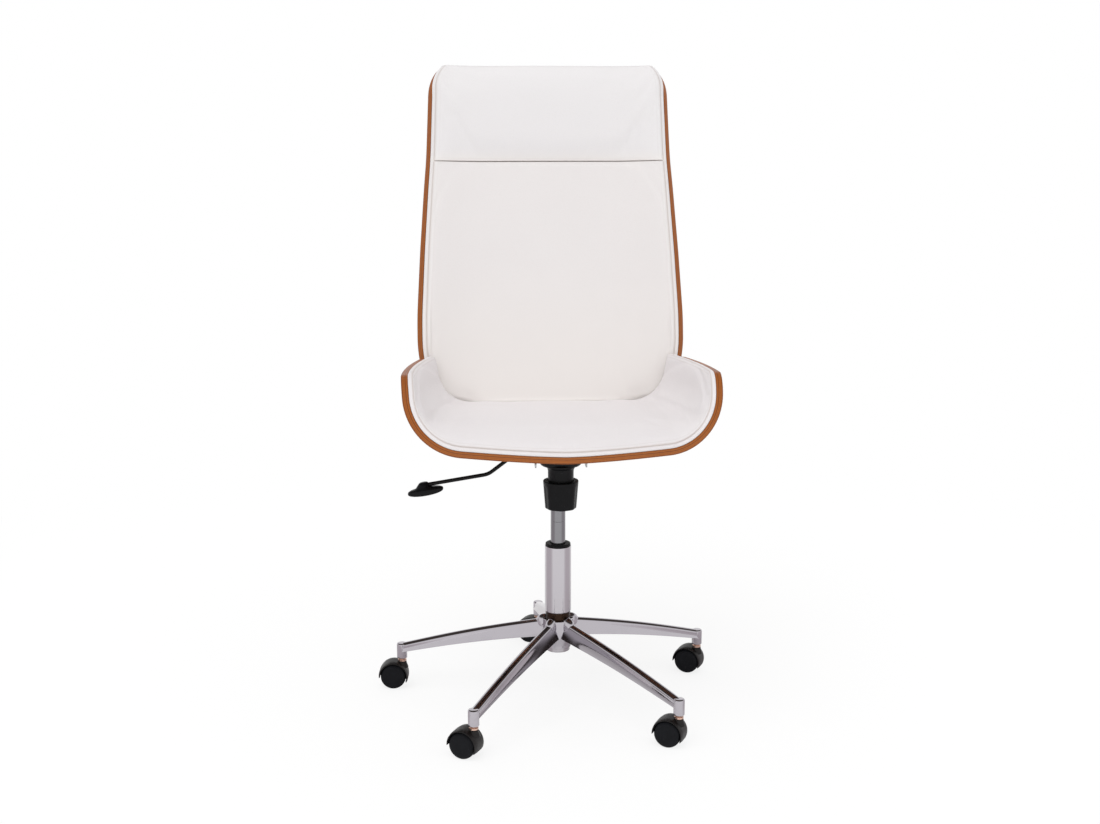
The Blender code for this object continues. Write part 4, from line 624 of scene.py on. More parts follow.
# Height and tilt-lock lever
# A bent black rod out of the mechanism's left side, with a moulded oval grip on its end.

LEVER_Y = -0.012
LEVER_R = 0.0036
LEVER_CORNERS = [(-0.010, 0.4985), (-0.066, 0.4985), (-0.131, 0.4492), (-0.248, 0.4305)]
LEVER_BEND = 0.009          # length that each bend is rounded over
PADDLE_L, PADDLE_W, PADDLE_T = 0.066, 0.028, 0.0155
PADDLE_X, PADDLE_Z, PADDLE_SLOPE = -0.248, 0.4184, 0.16
PADDLE_PLUMP, PADDLE_DOME = 0.55, 0.7
PADDLE_THINNING = 0.15      # share of its thickness that it loses towards both ends
PADDLE_BOSS = (-0.0040, 0.0103)         # the boss's place along the grip and its height
PADDLE_BOSS_R = (0.0120, 0.0100)


def lever_tube(sides=24):
    """Round bar along a line in the XZ plane: each point is the line's own point plus the
    bar's radius times (normal cos a + Y sin a)."""
    line = soften(LEVER_CORNERS, LEVER_BEND, steps=10)
    keep = np.concatenate([[True], np.linalg.norm(np.diff(line, axis=0), axis=1) > 1e-6])
    line = line[keep]
    run = np.gradient(line, axis=0)
    run /= np.linalg.norm(run, axis=1, keepdims=True)
    normal, a = np.stack([-run[:, 1], run[:, 0]], -1), circle(sides)
    x = line[:, :1] + LEVER_R * normal[:, :1] * np.cos(a)
    z = line[:, 1:] + LEVER_R * normal[:, 1:] * np.cos(a)
    y = np.broadcast_to(LEVER_Y + LEVER_R * np.sin(a), x.shape)
    return swept(np.stack([x, y, z], -1))


def paddle_body(rows=57, cols=84):
    """Grip seen from above as an oval: for p from 0 at its top to pi underneath and a round
    it, x and y follow sin p to the power 0.55 and the height follows cos p to the power 0.7,
    so that its side stands up. A boss rises where the rod enters, as a steep smooth hill."""
    p, a = np.linspace(0.0, math.pi, rows)[:, None], circle(cols)
    reach = np.sin(p) ** PADDLE_PLUMP
    x = reach * np.cos(a) * PADDLE_L / 2
    y = reach * np.sin(a) * PADDLE_W / 2
    lens = 1 - PADDLE_THINNING * (reach * np.cos(a)) ** 2
    z = np.sign(np.cos(p)) * np.abs(np.cos(p)) ** PADDLE_DOME * PADDLE_T / 2 * lens
    away = np.sqrt(((x - PADDLE_BOSS[0]) / PADDLE_BOSS_R[0]) ** 2 + (y / PADDLE_BOSS_R[1]) ** 2)
    z = z + PADDLE_BOSS[1] * np.exp(-away ** 5) * (np.cos(p) > 0) + PADDLE_SLOPE * x
    points = np.stack([x + PADDLE_X, y + LEVER_Y, z + PADDLE_Z], -1)
    return points, grid_quads(rows, cols, wrap_cols=True)


make_piece("lever_bar", [lever_tube()], "lever", powder_coat("lever_black", (0.0065, 0.0058, 0.0060), 0.26),
           "lever_black", "lever_rod")
make_piece("lever_grip", [paddle_body()], "lever", moulded("paddle_plastic", rough=0.26), "paddle_plastic",
           "lever_paddle")
dress(zinc("bolt_steel", (0.42, 0.42, 0.43), 0.30), *(f"plate_bolt_{n}" for n in range(1, 5)),
      "back_bolt_1", "back_bolt_2")

# Seat shell
# Twelve millimetres of bent plywood under walnut veneer, its sides turned up as wings.
# The edge is left bare, so the plies show as lines, and all of it is lacquered.

PLY = 0.012
PLY_EDGE_R = 0.0013
SEAT_TIP = math.radians(3.0)
SLOPE, LEVEL = math.tan(SEAT_TIP), math.cos(SEAT_TIP)
SEAT_FRONT, SEAT_REAR = -0.265, 0.186
SEAT_TOP = 0.5288
LIP_FROM, LIP_FALL = -0.150, 0.35
FLAT = (0.180, 0.146)       # half width of the flat middle at the front and at the rear
WING_FRONT, WING_REAR = -0.088, 0.200
BEND_R, BEND = 0.0915, math.radians(85.0)
WING_RISE = 0.036
WING_CORNER_R, WING_REAR_R = 0.034, 0.020
FRONT_POWER = 1.5
SEAT_HALF = FLAT[0] + BEND_R * BEND + WING_RISE
REAR_WING, REAR_SWEEP = 0.030, (0.55, 0.80)
# Middle, half width and strength of each dark ply, as shares of the sheet's depth
PLY_LINES = [(0.12, 0.04, 0.45), (0.36, 0.09, 0.80), (0.60, 0.05, 0.50), (0.86, 0.09, 0.70)]


def smooth(t):
    """0 below 0, 1 above 1, and 3t^2 - 2t^3 between."""
    t = np.clip(t, 0.0, 1.0)
    return t * t * (3 - 2 * t)


def seat_line(y):
    """Height of the ply's top on the middle line: an even slope, less a parabola at the lip."""
    return SEAT_TOP - SLOPE * y - LIP_FALL * np.maximum(LIP_FROM - y, 0.0) ** 2


def seat_point(share, y, lift):
    """Point on the seat for a share of its half width, a depth y and a lift off the ply's
    top. Going out it is flat, then an arc of BEND_R through the bend angle, then straight;
    the lift moves it along the surface's normal in the cross section."""
    length = np.abs(share) * SEAT_HALF
    flat = between(FLAT, (np.maximum(y - WING_FRONT, 0.0) / (WING_REAR - WING_FRONT)) ** 2)
    angle = np.clip((length - FLAT[0]) / BEND_R, 0.0, BEND)
    beyond = np.maximum(length - FLAT[0] - BEND_R * BEND, 0.0)
    x = np.minimum(length / FLAT[0], 1.0) * flat + (BEND_R - lift) * np.sin(angle) + beyond * np.cos(angle)
    rise = BEND_R * (1 - np.cos(angle)) + beyond * np.sin(angle) + lift * np.cos(angle)
    return np.stack(np.broadcast_arrays(np.sign(share) * x, y, seat_line(y) + rise), -1)


def corner_loss(way, end, size):
    """What a round corner, a quarter of an ellipse, takes off the depth of a shape on the way
    to its end: the depth times 1 less the root of 1 minus the share of the length squared."""
    depth, length = size
    into = np.clip((way - end + length) / length, 0.0, 1.0)
    return depth * (1 - np.sqrt(1 - into ** 2))


def seat_front_edge(share):
    """Front edge: it draws back with the share to the power 1.5, and turns a round corner
    at the wing's top."""
    edge = between((SEAT_FRONT, WING_FRONT - WING_CORNER_R), np.abs(share) ** FRONT_POWER)
    return edge + corner_loss(np.abs(share), 1.0, (WING_CORNER_R, WING_CORNER_R / SEAT_HALF))


def border(grid):
    """The outer ring of a grid, once round."""
    return np.concatenate([grid[0], grid[1:, -1], grid[-1, -2::-1], grid[-2:0:-1, 0]])


def wrapped(levels):
    """Closed body from like grids of points: the first and last are its faces, and each one
    between lends its outer ring to the rim. Returns points and quads."""
    rows, cols = levels[0].shape[:2]
    size, rings = rows * cols, [border(level) for level in levels[1:-1]]
    around = border(np.arange(size).reshape(rows, cols))
    count = len(around)
    loops = [around] + [size + k * count + np.arange(count) for k in range(len(rings))]
    loops.append(size + len(rings) * count + around)
    strips = [np.stack([a, np.roll(a, -1), np.roll(b, -1), b], -1) for a, b in zip(loops, loops[1:])]
    face = grid_quads(rows, cols)
    width = levels[0].shape[2]
    points = np.concatenate([levels[0].reshape(-1, width), *rings, levels[-1].reshape(-1, width)])
    return points, np.concatenate([face[:, ::-1], *strips, face + size + len(rings) * count])


def ply_rim(steps=4):
    """(inset, lift) pairs from the upper face round the rim to the lower face: a quarter
    circle of PLY_EDGE_R at each arris and a flat between."""
    a = np.linspace(0.0, math.pi / 2, steps)
    upper = np.stack([PLY_EDGE_R * (1 - np.sin(a)), -PLY_EDGE_R * (1 - np.cos(a))], -1)
    lower = np.stack([upper[::-1, 0], -PLY - upper[::-1, 1]], -1)
    flat = np.stack([np.zeros(7), np.linspace(-PLY_EDGE_R, PLY_EDGE_R - PLY, 9)[1:-1]], -1)
    return np.vstack([upper, flat, lower])


def veneer(name, along, seed, darkening):
    """Lacquered walnut veneer on the faces and bare plies on the edge. The figure is a set of
    long arches: rings of a noise that is stretched along the grain. The plies are bands over
    the depth into the sheet, light and dark in turn, with end grain as short cross streaks.
    The lower face is darkened by a share, as painted shade."""
    f = Finish(name)
    laid = f.laid()
    long_grain, long_fibre = np.ones((2, 3))
    long_grain[along], long_fibre[along] = 0.16, 0.02
    drawn = f.stretch(laid, long_grain, (seed, seed, 0.0))
    fine = f.stretch(laid, long_fibre, (seed, seed, 0.0))
    broad = f.noise(drawn, 9.0, 2.0, 0.5, 0.25)
    rings = ((broad * 95.0).sine() * 0.5 + 0.5) ** 1.6
    fibre = f.noise(fine, 900.0, 3.0, 0.6)
    pores = f.noise(fine, 2100.0, 2.0).step(0.56, 0.70)
    tone = f.noise(drawn, 5.0, 3.0)
    face = f.mix(rings, (0.300, 0.100, 0.032), (0.190, 0.060, 0.020))
    face = f.mix(0.45 * tone.step(0.35, 0.7), face, (0.360, 0.140, 0.050))
    face = f.mix(0.40 * fibre.step(0.45, 0.7), face, (0.130, 0.044, 0.016))
    face = f.mix(0.55 * pores, face, (0.065, 0.022, 0.009))
    # Painted shade: the lower face is darkened by the given share, for the shadow under the shell.
    lower = (laid.part(2) / -PLY).step(0.97, 0.995)
    face = f.mix(darkening * lower, face, (0.020, 0.009, 0.005))
    depth = laid.part(2) / -PLY + 0.030 * (f.noise(laid, 30.0, 2.0) - 0.5)
    edge = f.mix(f.noise(f.stretch(laid, (1.0, 1.0, 0.4)), 260.0, 3.0, 0.6), (0.300, 0.081, 0.010),
                 (0.410, 0.126, 0.019))
    edge = f.mix(0.5 * tone.step(0.3, 0.7), edge, (0.268, 0.067, 0.008))
    for middle, half, strength in PLY_LINES:
        line = depth.step(middle - half, middle - half / 3)
        line = line * (1 - depth.step(middle + half / 3, middle + half))
        edge = f.mix(strength * line, edge, (0.130, 0.036, 0.009))
    on_edge = depth.step(0.005, 0.03) * (1 - depth.step(0.97, 0.995))
    colour = f.mix(on_edge, face, edge)
    relief = 0.6 * fibre + 0.4 * (1 - pores)
    return f.paint(Base_Color=colour, Roughness=0.34 + 0.10 * fibre + 0.10 * on_edge, Coat_Weight=0.12,
                   Coat_Roughness=0.16, Specular_IOR_Level=0.28, Normal=f.bump(relief, 0.00006))


def closing(start, count):
    """Lines from a start up to 1 that close up as a sine, for a round corner."""
    return between((start, 1.0), np.sin(np.linspace(0.0, math.pi / 2, count + 1)[1:]))


wing_from = 1 - WING_CORNER_R / SEAT_HALF
wing_top = closing(wing_from, 9)
SEAT_SHARES = np.concatenate([-wing_top[::-1], np.linspace(-wing_from, wing_from, 105), wing_top])[None, :]
SEAT_STEPS = np.linspace(0.0, 1.0, 75)[:, None]

# Back shell
# The same ply, bent at its foot to pass under the seat, bowed forward at both sides and
# leaning back less towards the top. Two bolts hold the foot to the seat.

BACK_Y = 0.240
FOOT_FRONT = 0.108
FOOT_BEND_R = 0.050
LEAN_LOW, LEAN_TOP = math.radians(12.0), math.radians(5.0)
LEAN_FROM = 0.100
BACK_TOP = 1.198
BACK_FLAT, BACK_BEND_R, BACK_BEND_MOST = 0.120, 0.185, 0.95
FOOT_HALF, FLARE_FROM = 0.095, 0.35
BACK_CORNER = (0.035, 0.060)    # width and height of its round upper corners
BACK_EDGE, BACK_PAD = 0.0120, 0.0355    # height of the back pad's border and of its middle
PLY_TO_PAD = 0.0012             # air between the seat ply and the back pad
# Height and half width
BACK_OUTLINE = np.array([(0.560, 0.228), (0.600, 0.250), (0.640, 0.2565), (0.704, 0.2565),
                         (0.830, 0.2500), (0.956, 0.2415), (1.016, 0.2365), (1.198, 0.2290)])
HEADING_FOOT, HEADING_LOW = -SEAT_TIP, math.pi / 2 - LEAN_LOW
FOOT_BEND_Y = BACK_Y - FOOT_BEND_R * (math.sin(HEADING_LOW) - math.sin(HEADING_FOOT))
FOOT_LENGTH = (FOOT_BEND_Y - FOOT_FRONT) / LEVEL
FOOT_BEND_END = FOOT_LENGTH + FOOT_BEND_R * (HEADING_LOW - HEADING_FOOT)


def foot_top(y):
    """Upper face of the back's foot, a hair under the seat ply."""
    return seat_line(y) - PLY / LEVEL - GAP


def back_rows(step=0.002):
    """Length, y, z and heading along the back's middle line: the heading grows by the length
    over the bend's radius through the foot bend, stays for LEAN_FROM, and then grows evenly
    to the top; y and z are the running sums of its cosine and sine."""
    bend_top = foot_top(FOOT_BEND_Y) + FOOT_BEND_R * (math.cos(HEADING_FOOT) - math.cos(HEADING_LOW))
    length = np.arange(0.0, 1.1, step)
    upper = (length - FOOT_BEND_END - LEAN_FROM) / (BACK_TOP - bend_top - LEAN_FROM)
    bent = np.clip((length - FOOT_LENGTH) / FOOT_BEND_R, 0.0, HEADING_LOW - HEADING_FOOT)
    heading = HEADING_FOOT + bent + (LEAN_LOW - LEAN_TOP) * np.clip(upper, 0.0, 1.0)
    y = FOOT_FRONT + np.concatenate([[0.0], np.cumsum(step * np.cos(heading[:-1]))])
    z = foot_top(FOOT_FRONT) + np.concatenate([[0.0], np.cumsum(step * np.sin(heading[:-1]))])
    last = int(np.argmax(z >= BACK_TOP)) + 1
    return np.stack([length, y, z, heading])[:, :last]


BACK_LINE = back_rows()
BACK_LENGTH = BACK_LINE[0, -1]


def along_back(length):
    return [np.interp(length, BACK_LINE[0], row) for row in BACK_LINE[1:]]


def back_length_at(z):
    """Length along the back's middle line at a height above the foot bend."""
    rising = BACK_LINE[:, BACK_LINE[3] > math.pi / 6]
    return np.interp(z, rising[2], rising[0])


def outline_half(z):
    """Half width of the back at a height, its corners smoothed over 40 mm."""
    near = np.linspace(-0.020, 0.020, 9)
    return np.mean([np.interp(z + d, BACK_OUTLINE[:, 0], BACK_OUTLINE[:, 1]) for d in near], 0)


def back_half(length):
    """Half width of the back along its length: the narrow foot flares to the outline."""
    low = BACK_OUTLINE[0, 0]
    start = back_length_at(low)
    flare = smooth((length / start - FLARE_FROM) / (1 - FLARE_FROM))
    foot = between((FOOT_HALF, outline_half(low)), flare)
    wide = np.where(length < start, foot, outline_half(along_back(length)[1]))
    return wide - corner_loss(length, BACK_LENGTH, BACK_CORNER)


def back_section(x):
    """Forward bow at a half width, an arc beyond the flat middle, and its slope angle."""
    reach = np.clip(np.abs(x) - BACK_FLAT, 0.0, BACK_BEND_R * BACK_BEND_MOST)
    angle = np.arcsin(reach / BACK_BEND_R)
    return BACK_BEND_R * (1 - np.cos(angle)), angle


def back_point(x, length, lift):
    """Point over the back at a half width, a length along it and a lift off its front. The
    bow comes in over the foot bend."""
    y, z, heading = along_back(length)
    bow, angle = back_section(x)
    share = smooth((length - FOOT_LENGTH) / (FOOT_BEND_END - FOOT_LENGTH))
    bow, angle = bow * share, angle * share
    forward = bow + lift * np.cos(angle)
    side = np.sign(x) * (np.abs(x) - lift * np.sin(angle))
    point = side, y - forward * np.sin(heading), z + forward * np.cos(heading)
    return np.stack(np.broadcast_arrays(*point), -1)


def back_front_y(x, z, lift):
    """How far back a point can go at x and z before it meets the back raised by lift."""
    bow, angle = back_section(x)
    forward = bow + lift / np.maximum(np.cos(angle), 0.5)
    y, _, heading = along_back(back_length_at(z - forward * math.sin(LEAN_LOW)))
    return y - forward * np.sin(heading)


def back_shell_level(inset, lift):
    length = inset + BACK_STEPS * (BACK_LENGTH - 2 * inset)
    x = (back_half(length) - inset) * BACK_SHARES
    flat = np.stack(np.broadcast_arrays(x, length, np.full_like(x, lift)), -1)
    return np.concatenate([back_point(x, length, lift), flat], -1)


def meets_back_pad(share, lift):
    """Depth at which a line over the seat meets the front of the back pad."""
    x, _, z = np.moveaxis(seat_point(share, np.full_like(share, WING_REAR), lift), -1, 0)
    return back_front_y(x, z, back_pad_thickness(x, z))


def seat_rear_edge(share, lift):
    """Rear edge of the seat ply: straight in the middle, swept back at the wings, round at
    its upper corners, and short of the back pad."""
    sweep = smooth((np.abs(share) - REAR_SWEEP[0]) / (REAR_SWEEP[1] - REAR_SWEEP[0]))
    edge = np.minimum(SEAT_REAR + REAR_WING * sweep, meets_back_pad(share, lift) - PLY_TO_PAD)
    return edge - corner_loss(np.abs(share), 1.0, (WING_REAR_R, WING_REAR_R / SEAT_HALF))


def back_pad_thickness(x, z):
    """Height of the back pad off the ply: its border, and over that the root of 1 - u^4."""
    u = np.minimum(np.abs(x) / outline_half(z), 1.0)
    return between((BACK_EDGE, BACK_PAD), np.sqrt(1 - u ** 4))


def seat_shell_level(inset, lift):
    share = SEAT_SHARES * (1 - inset / SEAT_HALF)
    front = seat_front_edge(share) + inset
    rear = np.minimum(seat_rear_edge(share, 0.0), seat_rear_edge(share, -PLY)) - inset
    y = front + (rear - front) * SEAT_STEPS
    flat = np.stack(np.broadcast_arrays(share * SEAT_HALF, y, np.full_like(y, lift)), -1)
    return np.concatenate([seat_point(share, y, lift), flat], -1)


corner_from = 1 - BACK_CORNER[1] / BACK_LENGTH
BACK_STEPS = np.concatenate([np.linspace(0.0, corner_from, 130), closing(corner_from, 14)])[:, None]
BACK_SHARES = np.linspace(-1.0, 1.0, 71)[None, :]
for name, level, node, slot, finish in (
        ("seat_bowl", seat_shell_level, "seat_shell", "seat_ply", veneer("seat_veneer", 0, 3.1, 0.75)),
        ("back_board", back_shell_level, "back_shell", "back_ply", veneer("back_veneer", 1, 7.4, 0.0))):
    points, quads = wrapped([level(inset, lift) for inset, lift in ply_rim()])
    make_piece(name, [(points[:, :3], quads)], "seat", finish, slot, node, laid=points[:, 3:],
               crease_deg=60.0)

# Leather pads
# Foam in white leather on the front of both shells: a top panel sewn to a low border, which
# is tacked round the ply. Each panel swells over its foam from a seam just inside the wood.

SEAT_EDGE, SEAT_PAD, SEAT_PAD_WING = 0.0090, 0.028, 0.021
SEAT_PAD_INSET, BACK_PAD_INSET = -0.0004, 0.0012
WING_THIN_BY = 0.85         # share of the half width at which the wing's height is reached
SEAT_BEND_FILL, FILL_AT, FILL_WIDE = 0.0060, 0.50, 0.14     # foam in the bends: height, shares
SEAT_REAR_V = 0.6           # the seat pad keeps its height from here to the back pad
BACK_PAD_WIDE, HEAD_PAD_WIDE = 0.48, 0.46       # widths that their stitches are spaced for
BACK_PAD_FOOT = 0.518
HEAD_PAD_H, HEAD_PAD, HEAD_PAD_OVER = 0.188, 0.0425, 0.0105
HEAD_TOP_BOW = 0.0060       # fall of its top edge from the middle to the sides
HEAD_CORNER = (0.052, 0.056)    # width and height of the headrest's round corners
PAD_BED = 0.0004            # air between a pad and the ply
SEAM_DEPTH = 0.0011
PADS_PRESS = 0.0010         # depth that the seat pad's rear edge presses into the back pad
PADS_AIR = 0.0006           # air between the back pad and the headrest
SEAM_RIM = [(0.0004, -SEAM_DEPTH), (0.0012, -SEAM_DEPTH), (0.0024, 0.0)]    # drop and way out
BORDER = [(0.55, 0.0010), (0.22, 0.0008), (0.06, 0.0002), (0.02, -0.0006)]  # share and way out
BED_INSET = 0.0012
# Painted shade: its share on the seam's rim rows, and along the stitch line
SEAM_SHADE = (1.0, 0.8, 0.1)
STITCH_SHADE_LINE = 4             # line of the grid, counted from the seam, that the stitches follow
FOAM_PRESSURE, FOAM_FRAMES = 4.0, 20
CLOTH = {"quality": 5, "mass": 0.5, "tension_stiffness": 18.0, "compression_stiffness": 18.0,
         "shear_stiffness": 9.0, "bending_stiffness": 1.2, "use_pressure": True,
         "uniform_pressure_force": FOAM_PRESSURE, "vertex_group_mass": "sewn"}


def leather(name, tint, cream_shade_low=0.0, cream_shade_high=0.001):
    """Soft white hide: pebbles a millimetre across between fine creases drawn a little darker as
    painted shade, a slow change of tone, a faint line of painted shade where a seam draws it
    in, and a creamier painted shade below a height."""
    f = Finish(name)
    place = f.place()
    warped = f.noise(place, 420.0, 2.0)
    pebble = f.cells(place, 950.0)
    crease = f.cells(place, 520.0, "DISTANCE_TO_EDGE").step(0.0, 0.16)
    cloud = f.noise(place, 5.0, 3.0)
    duller = tuple(np.multiply(tint, (0.975, 0.970, 0.972)).tolist())
    shade = f.mix(0.5 * cloud.step(0.3, 0.7), tint, duller)
    # Painted shade: the creases of the grain are drawn a little darker.
    shade = f.mix(0.10 * (1 - crease), shade, (0.55, 0.50, 0.48))
    # Painted shade: creamier below a height, low on the back and under the headrest's lower roll.
    shade = f.mix(1 - place.part(2).step(cream_shade_low, cream_shade_high), shade, (0.822, 0.785, 0.760))
    # Painted shade along the seams and the stitch line, where the panel is drawn in.
    sewn = f.laid().part(2)
    shade = f.mix(0.55 * sewn, shade, (0.46, 0.38, 0.33))
    relief = 0.55 * crease + 0.30 * (1 - pebble) + 0.15 * warped
    return f.paint(Base_Color=shade, Roughness=0.44 + 0.08 * (1 - crease) + 0.05 * cloud,
                   Normal=f.bump(relief, 0.00007), Coat_Weight=0.06, Coat_Roughness=0.35)


def sewn_lines(length, wide=0.0065):
    """Lines over a panel as shares from -1 to 1: close together by the seams at both sides
    and about wide apart between them."""
    near = np.array([0.0, 0.0010, 0.0024, 0.0040, 0.0052, 0.0066, 0.0095, 0.0138]) * 2 / length
    inner = 1 - near[-1]
    count = max(int(length * inner / wide), 4) + 1
    return np.concatenate([near - 1, np.linspace(-inner, inner, count)[1:-1], (1 - near)[::-1]])


def swell(u, v):
    """Height of a panel over its seam as a share: the root of (1 - u^4)(1 - v^4)."""
    return np.clip((1 - np.abs(u) ** 4.0) * (1 - np.abs(v) ** 4.0), 0.0, 1.0) ** 0.5


def pressed_out(points, quads, sewn, most):
    """The panel as cloth, held where it is sewn and pressed out by its foam for a number of
    frames. No point ends further than most from its start."""
    mesh = bpy.data.meshes.new("panel")
    mesh.from_pydata(points.tolist(), [], quads.tolist())
    obj, scene = linked("panel", mesh), bpy.context.scene
    group = obj.vertex_groups.new(name="sewn")
    group.add(np.flatnonzero(sewn).tolist(), 1.0, "REPLACE")
    cloth = obj.modifiers.new("leather", "CLOTH")
    for key, value in CLOTH.items():
        setattr(cloth.settings, key, value)
    cloth.settings.effector_weights.gravity = 0.0
    cloth.point_cache.frame_start, cloth.point_cache.frame_end = 1, FOAM_FRAMES
    for number in range(1, FOAM_FRAMES + 1):
        scene.frame_set(number)
    result = obj.evaluated_get(bpy.context.evaluated_depsgraph_get()).data
    moved = np.zeros(len(result.vertices) * 3, np.float32)
    result.vertices.foreach_get("co", moved)
    scene.frame_set(1)
    bpy.data.objects.remove(obj)
    change = moved.reshape(-1, 3) - points
    size = np.linalg.norm(change, axis=1, keepdims=True)
    return points + change * np.minimum(1.0, most / np.maximum(size, 1e-9))


def pad_piece(name, surface, u, v, height, slot, node, finish, most, stitch_shade=0.10):
    """A pad from surface(u, v, inset, lift): top panel, seam, border and bed as one closed
    body, where height(u, v) is the panel's lift off the ply. How far a point is sewn in, from
    0 to 1, goes along for the finish with the stitch line, as a share of painted seam shade."""
    grid_v, grid_u = np.meshgrid(v, u, indexing="ij")
    lift = height(grid_u, grid_v)
    top = surface(grid_u, grid_v, 0.0, lift)
    rows, cols = lift.shape
    lines = [np.minimum(np.arange(count), np.arange(count)[::-1]) for count in (rows, cols)]
    from_seam = np.minimum(lines[1][None, :], lines[0][:, None])
    quads = grid_quads(rows, cols)
    first = top.reshape(-1, 3)[quads[len(quads) // 2 + cols // 2]]
    up = np.cross(first[1] - first[0], first[3] - first[0])
    away = (top - surface(grid_u, grid_v, 0.0, 0 * lift))[rows // 2, cols // 2]
    quads = quads if up @ away > 0 else quads[:, ::-1]
    top = pressed_out(top.reshape(-1, 3), quads, (from_seam < 2).ravel(), most).reshape(top.shape)
    levels = [top, *(surface(grid_u, grid_v, -out, lift - drop) for drop, out in SEAM_RIM),
              *(surface(grid_u, grid_v, -out, between((PAD_BED, lift), share)) for share, out in BORDER),
              surface(grid_u, grid_v, BED_INSET, PAD_BED + 0 * lift)]
    points, quads = wrapped(levels)
    around = 2 * (rows + cols) - 4
    # Share of painted shade along the seam and the stitch line.
    sewn = np.clip(1 - 0.8 * from_seam, 0.0, 1.0) + stitch_shade * (from_seam == STITCH_SHADE_LINE)
    sewn = np.concatenate([sewn.ravel(), np.repeat(SEAM_SHADE, around)])
    marks = np.zeros((len(points), 3))
    marks[:len(sewn), 2] = sewn
    pad = make_piece(name, [(points, quads)], "seat", finish, slot, node, laid=marks, crease_deg=180.0)
    finer = pad.modifiers.new("finer", "SUBSURF")
    finer.levels = finer.render_levels = 1
    return pad


def seat_pad_surface(u, v, inset, lift):
    """Seat pad's sheet: u across the wings, v from the lip to the back pad."""
    share = u * (1 - (SEAT_PAD_INSET + inset) / SEAT_HALF)
    front = seat_front_edge(share) + SEAT_PAD_INSET + inset
    rear = meets_back_pad(share, lift) + PADS_PRESS - inset
    return seat_point(share, between((front, rear), (v + 1) / 2), lift)


def seat_pad_height(u, v):
    """Fullest in the bends, where the foam fills the corner, thinner on the wings, and at
    its full height against the back pad."""
    full = between((SEAT_PAD, SEAT_PAD_WING), smooth(np.abs(u) / WING_THIN_BY))
    full = full + SEAT_BEND_FILL * np.exp(-((np.abs(u) - FILL_AT) / FILL_WIDE) ** 2)
    return between((SEAT_EDGE, full), swell(u, np.minimum(v, SEAT_REAR_V)))


def back_pad_surface(low, high, corner=None, top_bow=0.0):
    """Sheet of a pad on the back between two lengths, the upper one less top_bow times u
    squared, its top corners round if it has any."""
    def surface(u, v, inset, lift):
        length = between((low + inset, high - inset - top_bow * u ** 2), (v + 1) / 2)
        half = back_half(np.minimum(length, BACK_LENGTH - BACK_CORNER[1])) - BACK_PAD_INSET - inset
        if corner:
            half = half - corner_loss(length, high, corner)
        return back_point(half * u, length, lift)
    return surface


def back_pad_height(u, v):
    """Even over its height: it runs down behind the seat pad and up to the headrest."""
    return between((BACK_EDGE, BACK_PAD), swell(u, 0.0))


def head_pad_height(u, v):
    """Level with the back pad at the lower seam, full in the middle, drawn in at the top."""
    seam = np.where(v < 0, back_pad_height(u, v), BACK_EDGE)
    return between((seam, between((BACK_EDGE, HEAD_PAD), swell(u, 0.0))), swell(0.0, v))


seat_leather = leather("seat_leather", (0.785, 0.755, 0.763))
back_leather = leather("back_leather", (0.788, 0.758, 0.752), 0.54, 0.86)
head_leather = leather("headrest_leather", (0.787, 0.768, 0.773), 1.002, 1.045)
seam_length = back_length_at(BACK_TOP - HEAD_PAD_H)
foot_length = back_length_at(BACK_PAD_FOOT)
back_sheet = back_pad_surface(foot_length, seam_length - PADS_AIR / 2)
head_sheet = back_pad_surface(seam_length + PADS_AIR / 2, BACK_LENGTH + HEAD_PAD_OVER, HEAD_CORNER,
                              HEAD_TOP_BOW)
pad_piece("seat_pad", seat_pad_surface, sewn_lines(2 * SEAT_HALF), sewn_lines(SEAT_REAR - SEAT_FRONT),
          seat_pad_height, "seat_leather", "seat_cushion", seat_leather, 0.003, stitch_shade=0.35)
pad_piece("back_pad", back_sheet, sewn_lines(BACK_PAD_WIDE), sewn_lines(seam_length - foot_length),
          back_pad_height, "back_leather", "back_cushion", back_leather, 0.002)
pad_piece("headrest_pad", head_sheet, sewn_lines(HEAD_PAD_WIDE), sewn_lines(HEAD_PAD_H),
          head_pad_height, "headrest_leather", "headrest_cushion", head_leather, 0.004)

# Studio
# A white floor that runs on into a white surround, two wide soft lamps from above, one at
# each side, and a dark ceiling that only the bright metal shows.

FLOOR_REACH = 60.0
WHITE = (1.0, 1.0, 1.0)
SKY_LEVEL = 0.70
FLOOR_GLOW = 0.82           # share of plain white in the floor as the camera sees it


def light_path(finish, ray):
    return finish.node("ShaderNodeLightPath", {}, {}, output=ray)


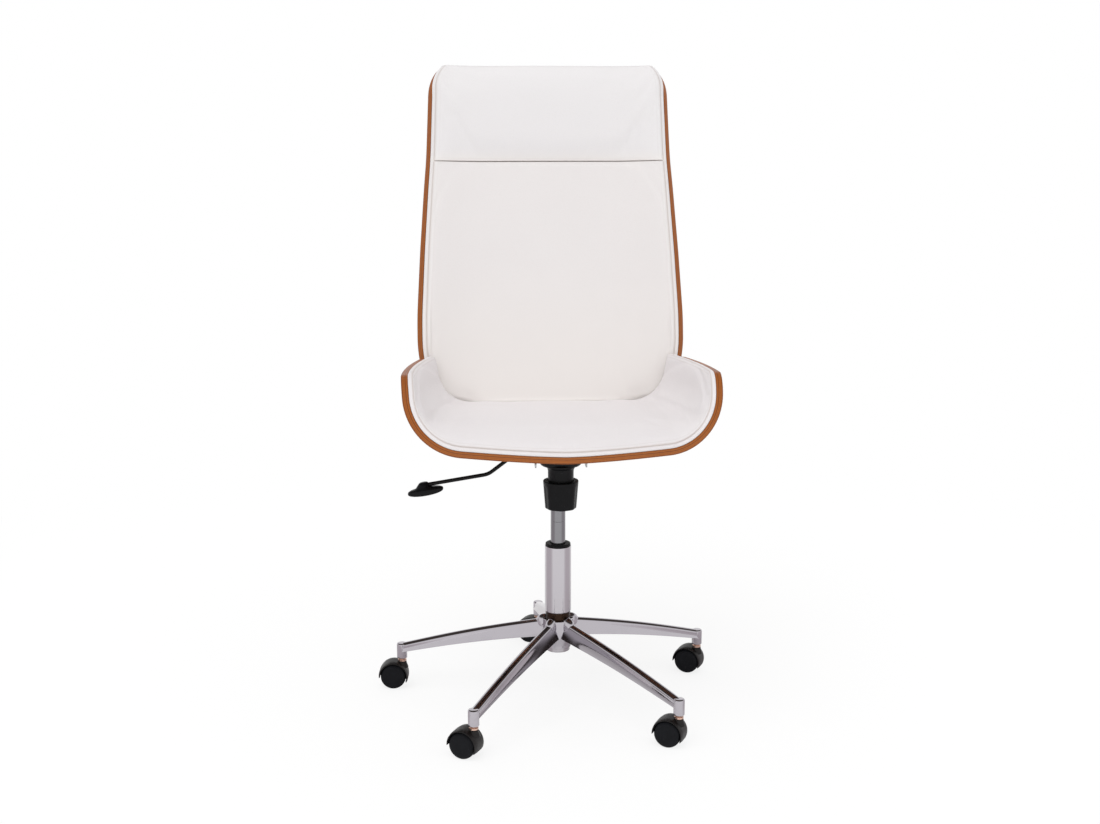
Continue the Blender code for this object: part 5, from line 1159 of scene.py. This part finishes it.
def floor():
    """Flat sheet whose own shading, shadows with it, is mixed with plain white, more so far
    away. Bright metal sees it duller to the left and the right."""
    mesh = bpy.data.meshes.new("floor")
    x, y = np.meshgrid([-FLOOR_REACH, FLOOR_REACH], [-FLOOR_REACH, FLOOR_REACH])
    mesh.from_pydata(np.stack([x, y, 0 * x], -1).reshape(-1, 3).tolist(), [], [(0, 1, 3, 2)])
    f = Finish("floor_white")
    place = f.place()
    across, along = place.part(0), place.part(1)
    away = across * across + along * along
    sides = (across * across / away).step(0.45, 0.90) * light_path(f, "Is Glossy Ray")
    f.paint(Base_Color=f.mix(sides, (0.97, 0.97, 0.97), (0.66, 0.62, 0.64)), Roughness=1.0,
            Specular_IOR_Level=0.0)
    far = away.step(0.3, 4.0)
    seen = light_path(f, "Is Camera Ray") * (FLOOR_GLOW + (1 - FLOOR_GLOW) * far)
    glow = f.node("ShaderNodeEmission", {}, {"Color": (*WHITE, 1.0), "Strength": 1.0})
    own = Signal(f, f.shader.outputs[0])
    both = f.node("ShaderNodeMixShader", {}, {0: seen, 1: own, 2: glow})
    f.tree.links.new(both.socket, f.tree.nodes["Material Output"].inputs["Surface"])
    mesh.materials.append(f.material)
    linked("floor", mesh)


def surround():
    """Plain white for the camera, an even level for the light, and for bright metal a white
    room with a dark ceiling and duller sides."""
    world = bpy.data.worlds.new("surround")
    f = Finish("surround", world, "Background")
    way = f.node("ShaderNodeTexCoord", {}, {}, output="Generated")
    side = way.part(0)
    ceiling = way.part(2).step(0.40, 0.64)
    flags = (side * side).step(0.80, 0.97)
    room = f.mix(0.55 * flags, WHITE, (0.30, 0.27, 0.27))
    room = f.mix(0.96 * ceiling, room, (0.030, 0.018, 0.012))
    level = f.mix(light_path(f, "Is Glossy Ray"), (SKY_LEVEL, SKY_LEVEL, SKY_LEVEL), room)
    f.paint(Color=f.mix(light_path(f, "Is Camera Ray"), level, WHITE), Strength=1.0)
    bpy.context.scene.world = world


def aim(obj, way):
    """Turn a lamp or camera to look along a direction."""
    obj.rotation_mode = "QUATERNION"
    obj.rotation_quaternion = Vector(way).to_track_quat("-Z", "Y")


def sun(name, way, strength, spread_deg):
    """Far soft lamp that shines along a direction."""
    data = bpy.data.lights.new(name, "SUN")
    data.energy = strength
    data.angle = math.radians(spread_deg)
    lamp = linked(name, data)
    aim(lamp, way)
    lamp.visible_glossy = False


floor()
surround()
sun("key", (0.30, 0.45, -1.00), 1.15, 50.0)
sun("fill", (-0.65, 0.60, -0.60), 0.35, 60.0)
bpy.context.scene.view_settings.view_transform = "Standard"

CAMERA_PLACE = (-0.1783, -2.6691, 1.103)
CAMERA_LOOK = (0.0598, 0.9784, -0.1978)
camera_data = bpy.data.cameras.new("camera")
camera_data.lens, camera_data.sensor_width = 47.99, 36.0
camera = linked("camera", camera_data)
camera.location = CAMERA_PLACE
aim(camera, CAMERA_LOOK)
bpy.context.scene.camera = camera
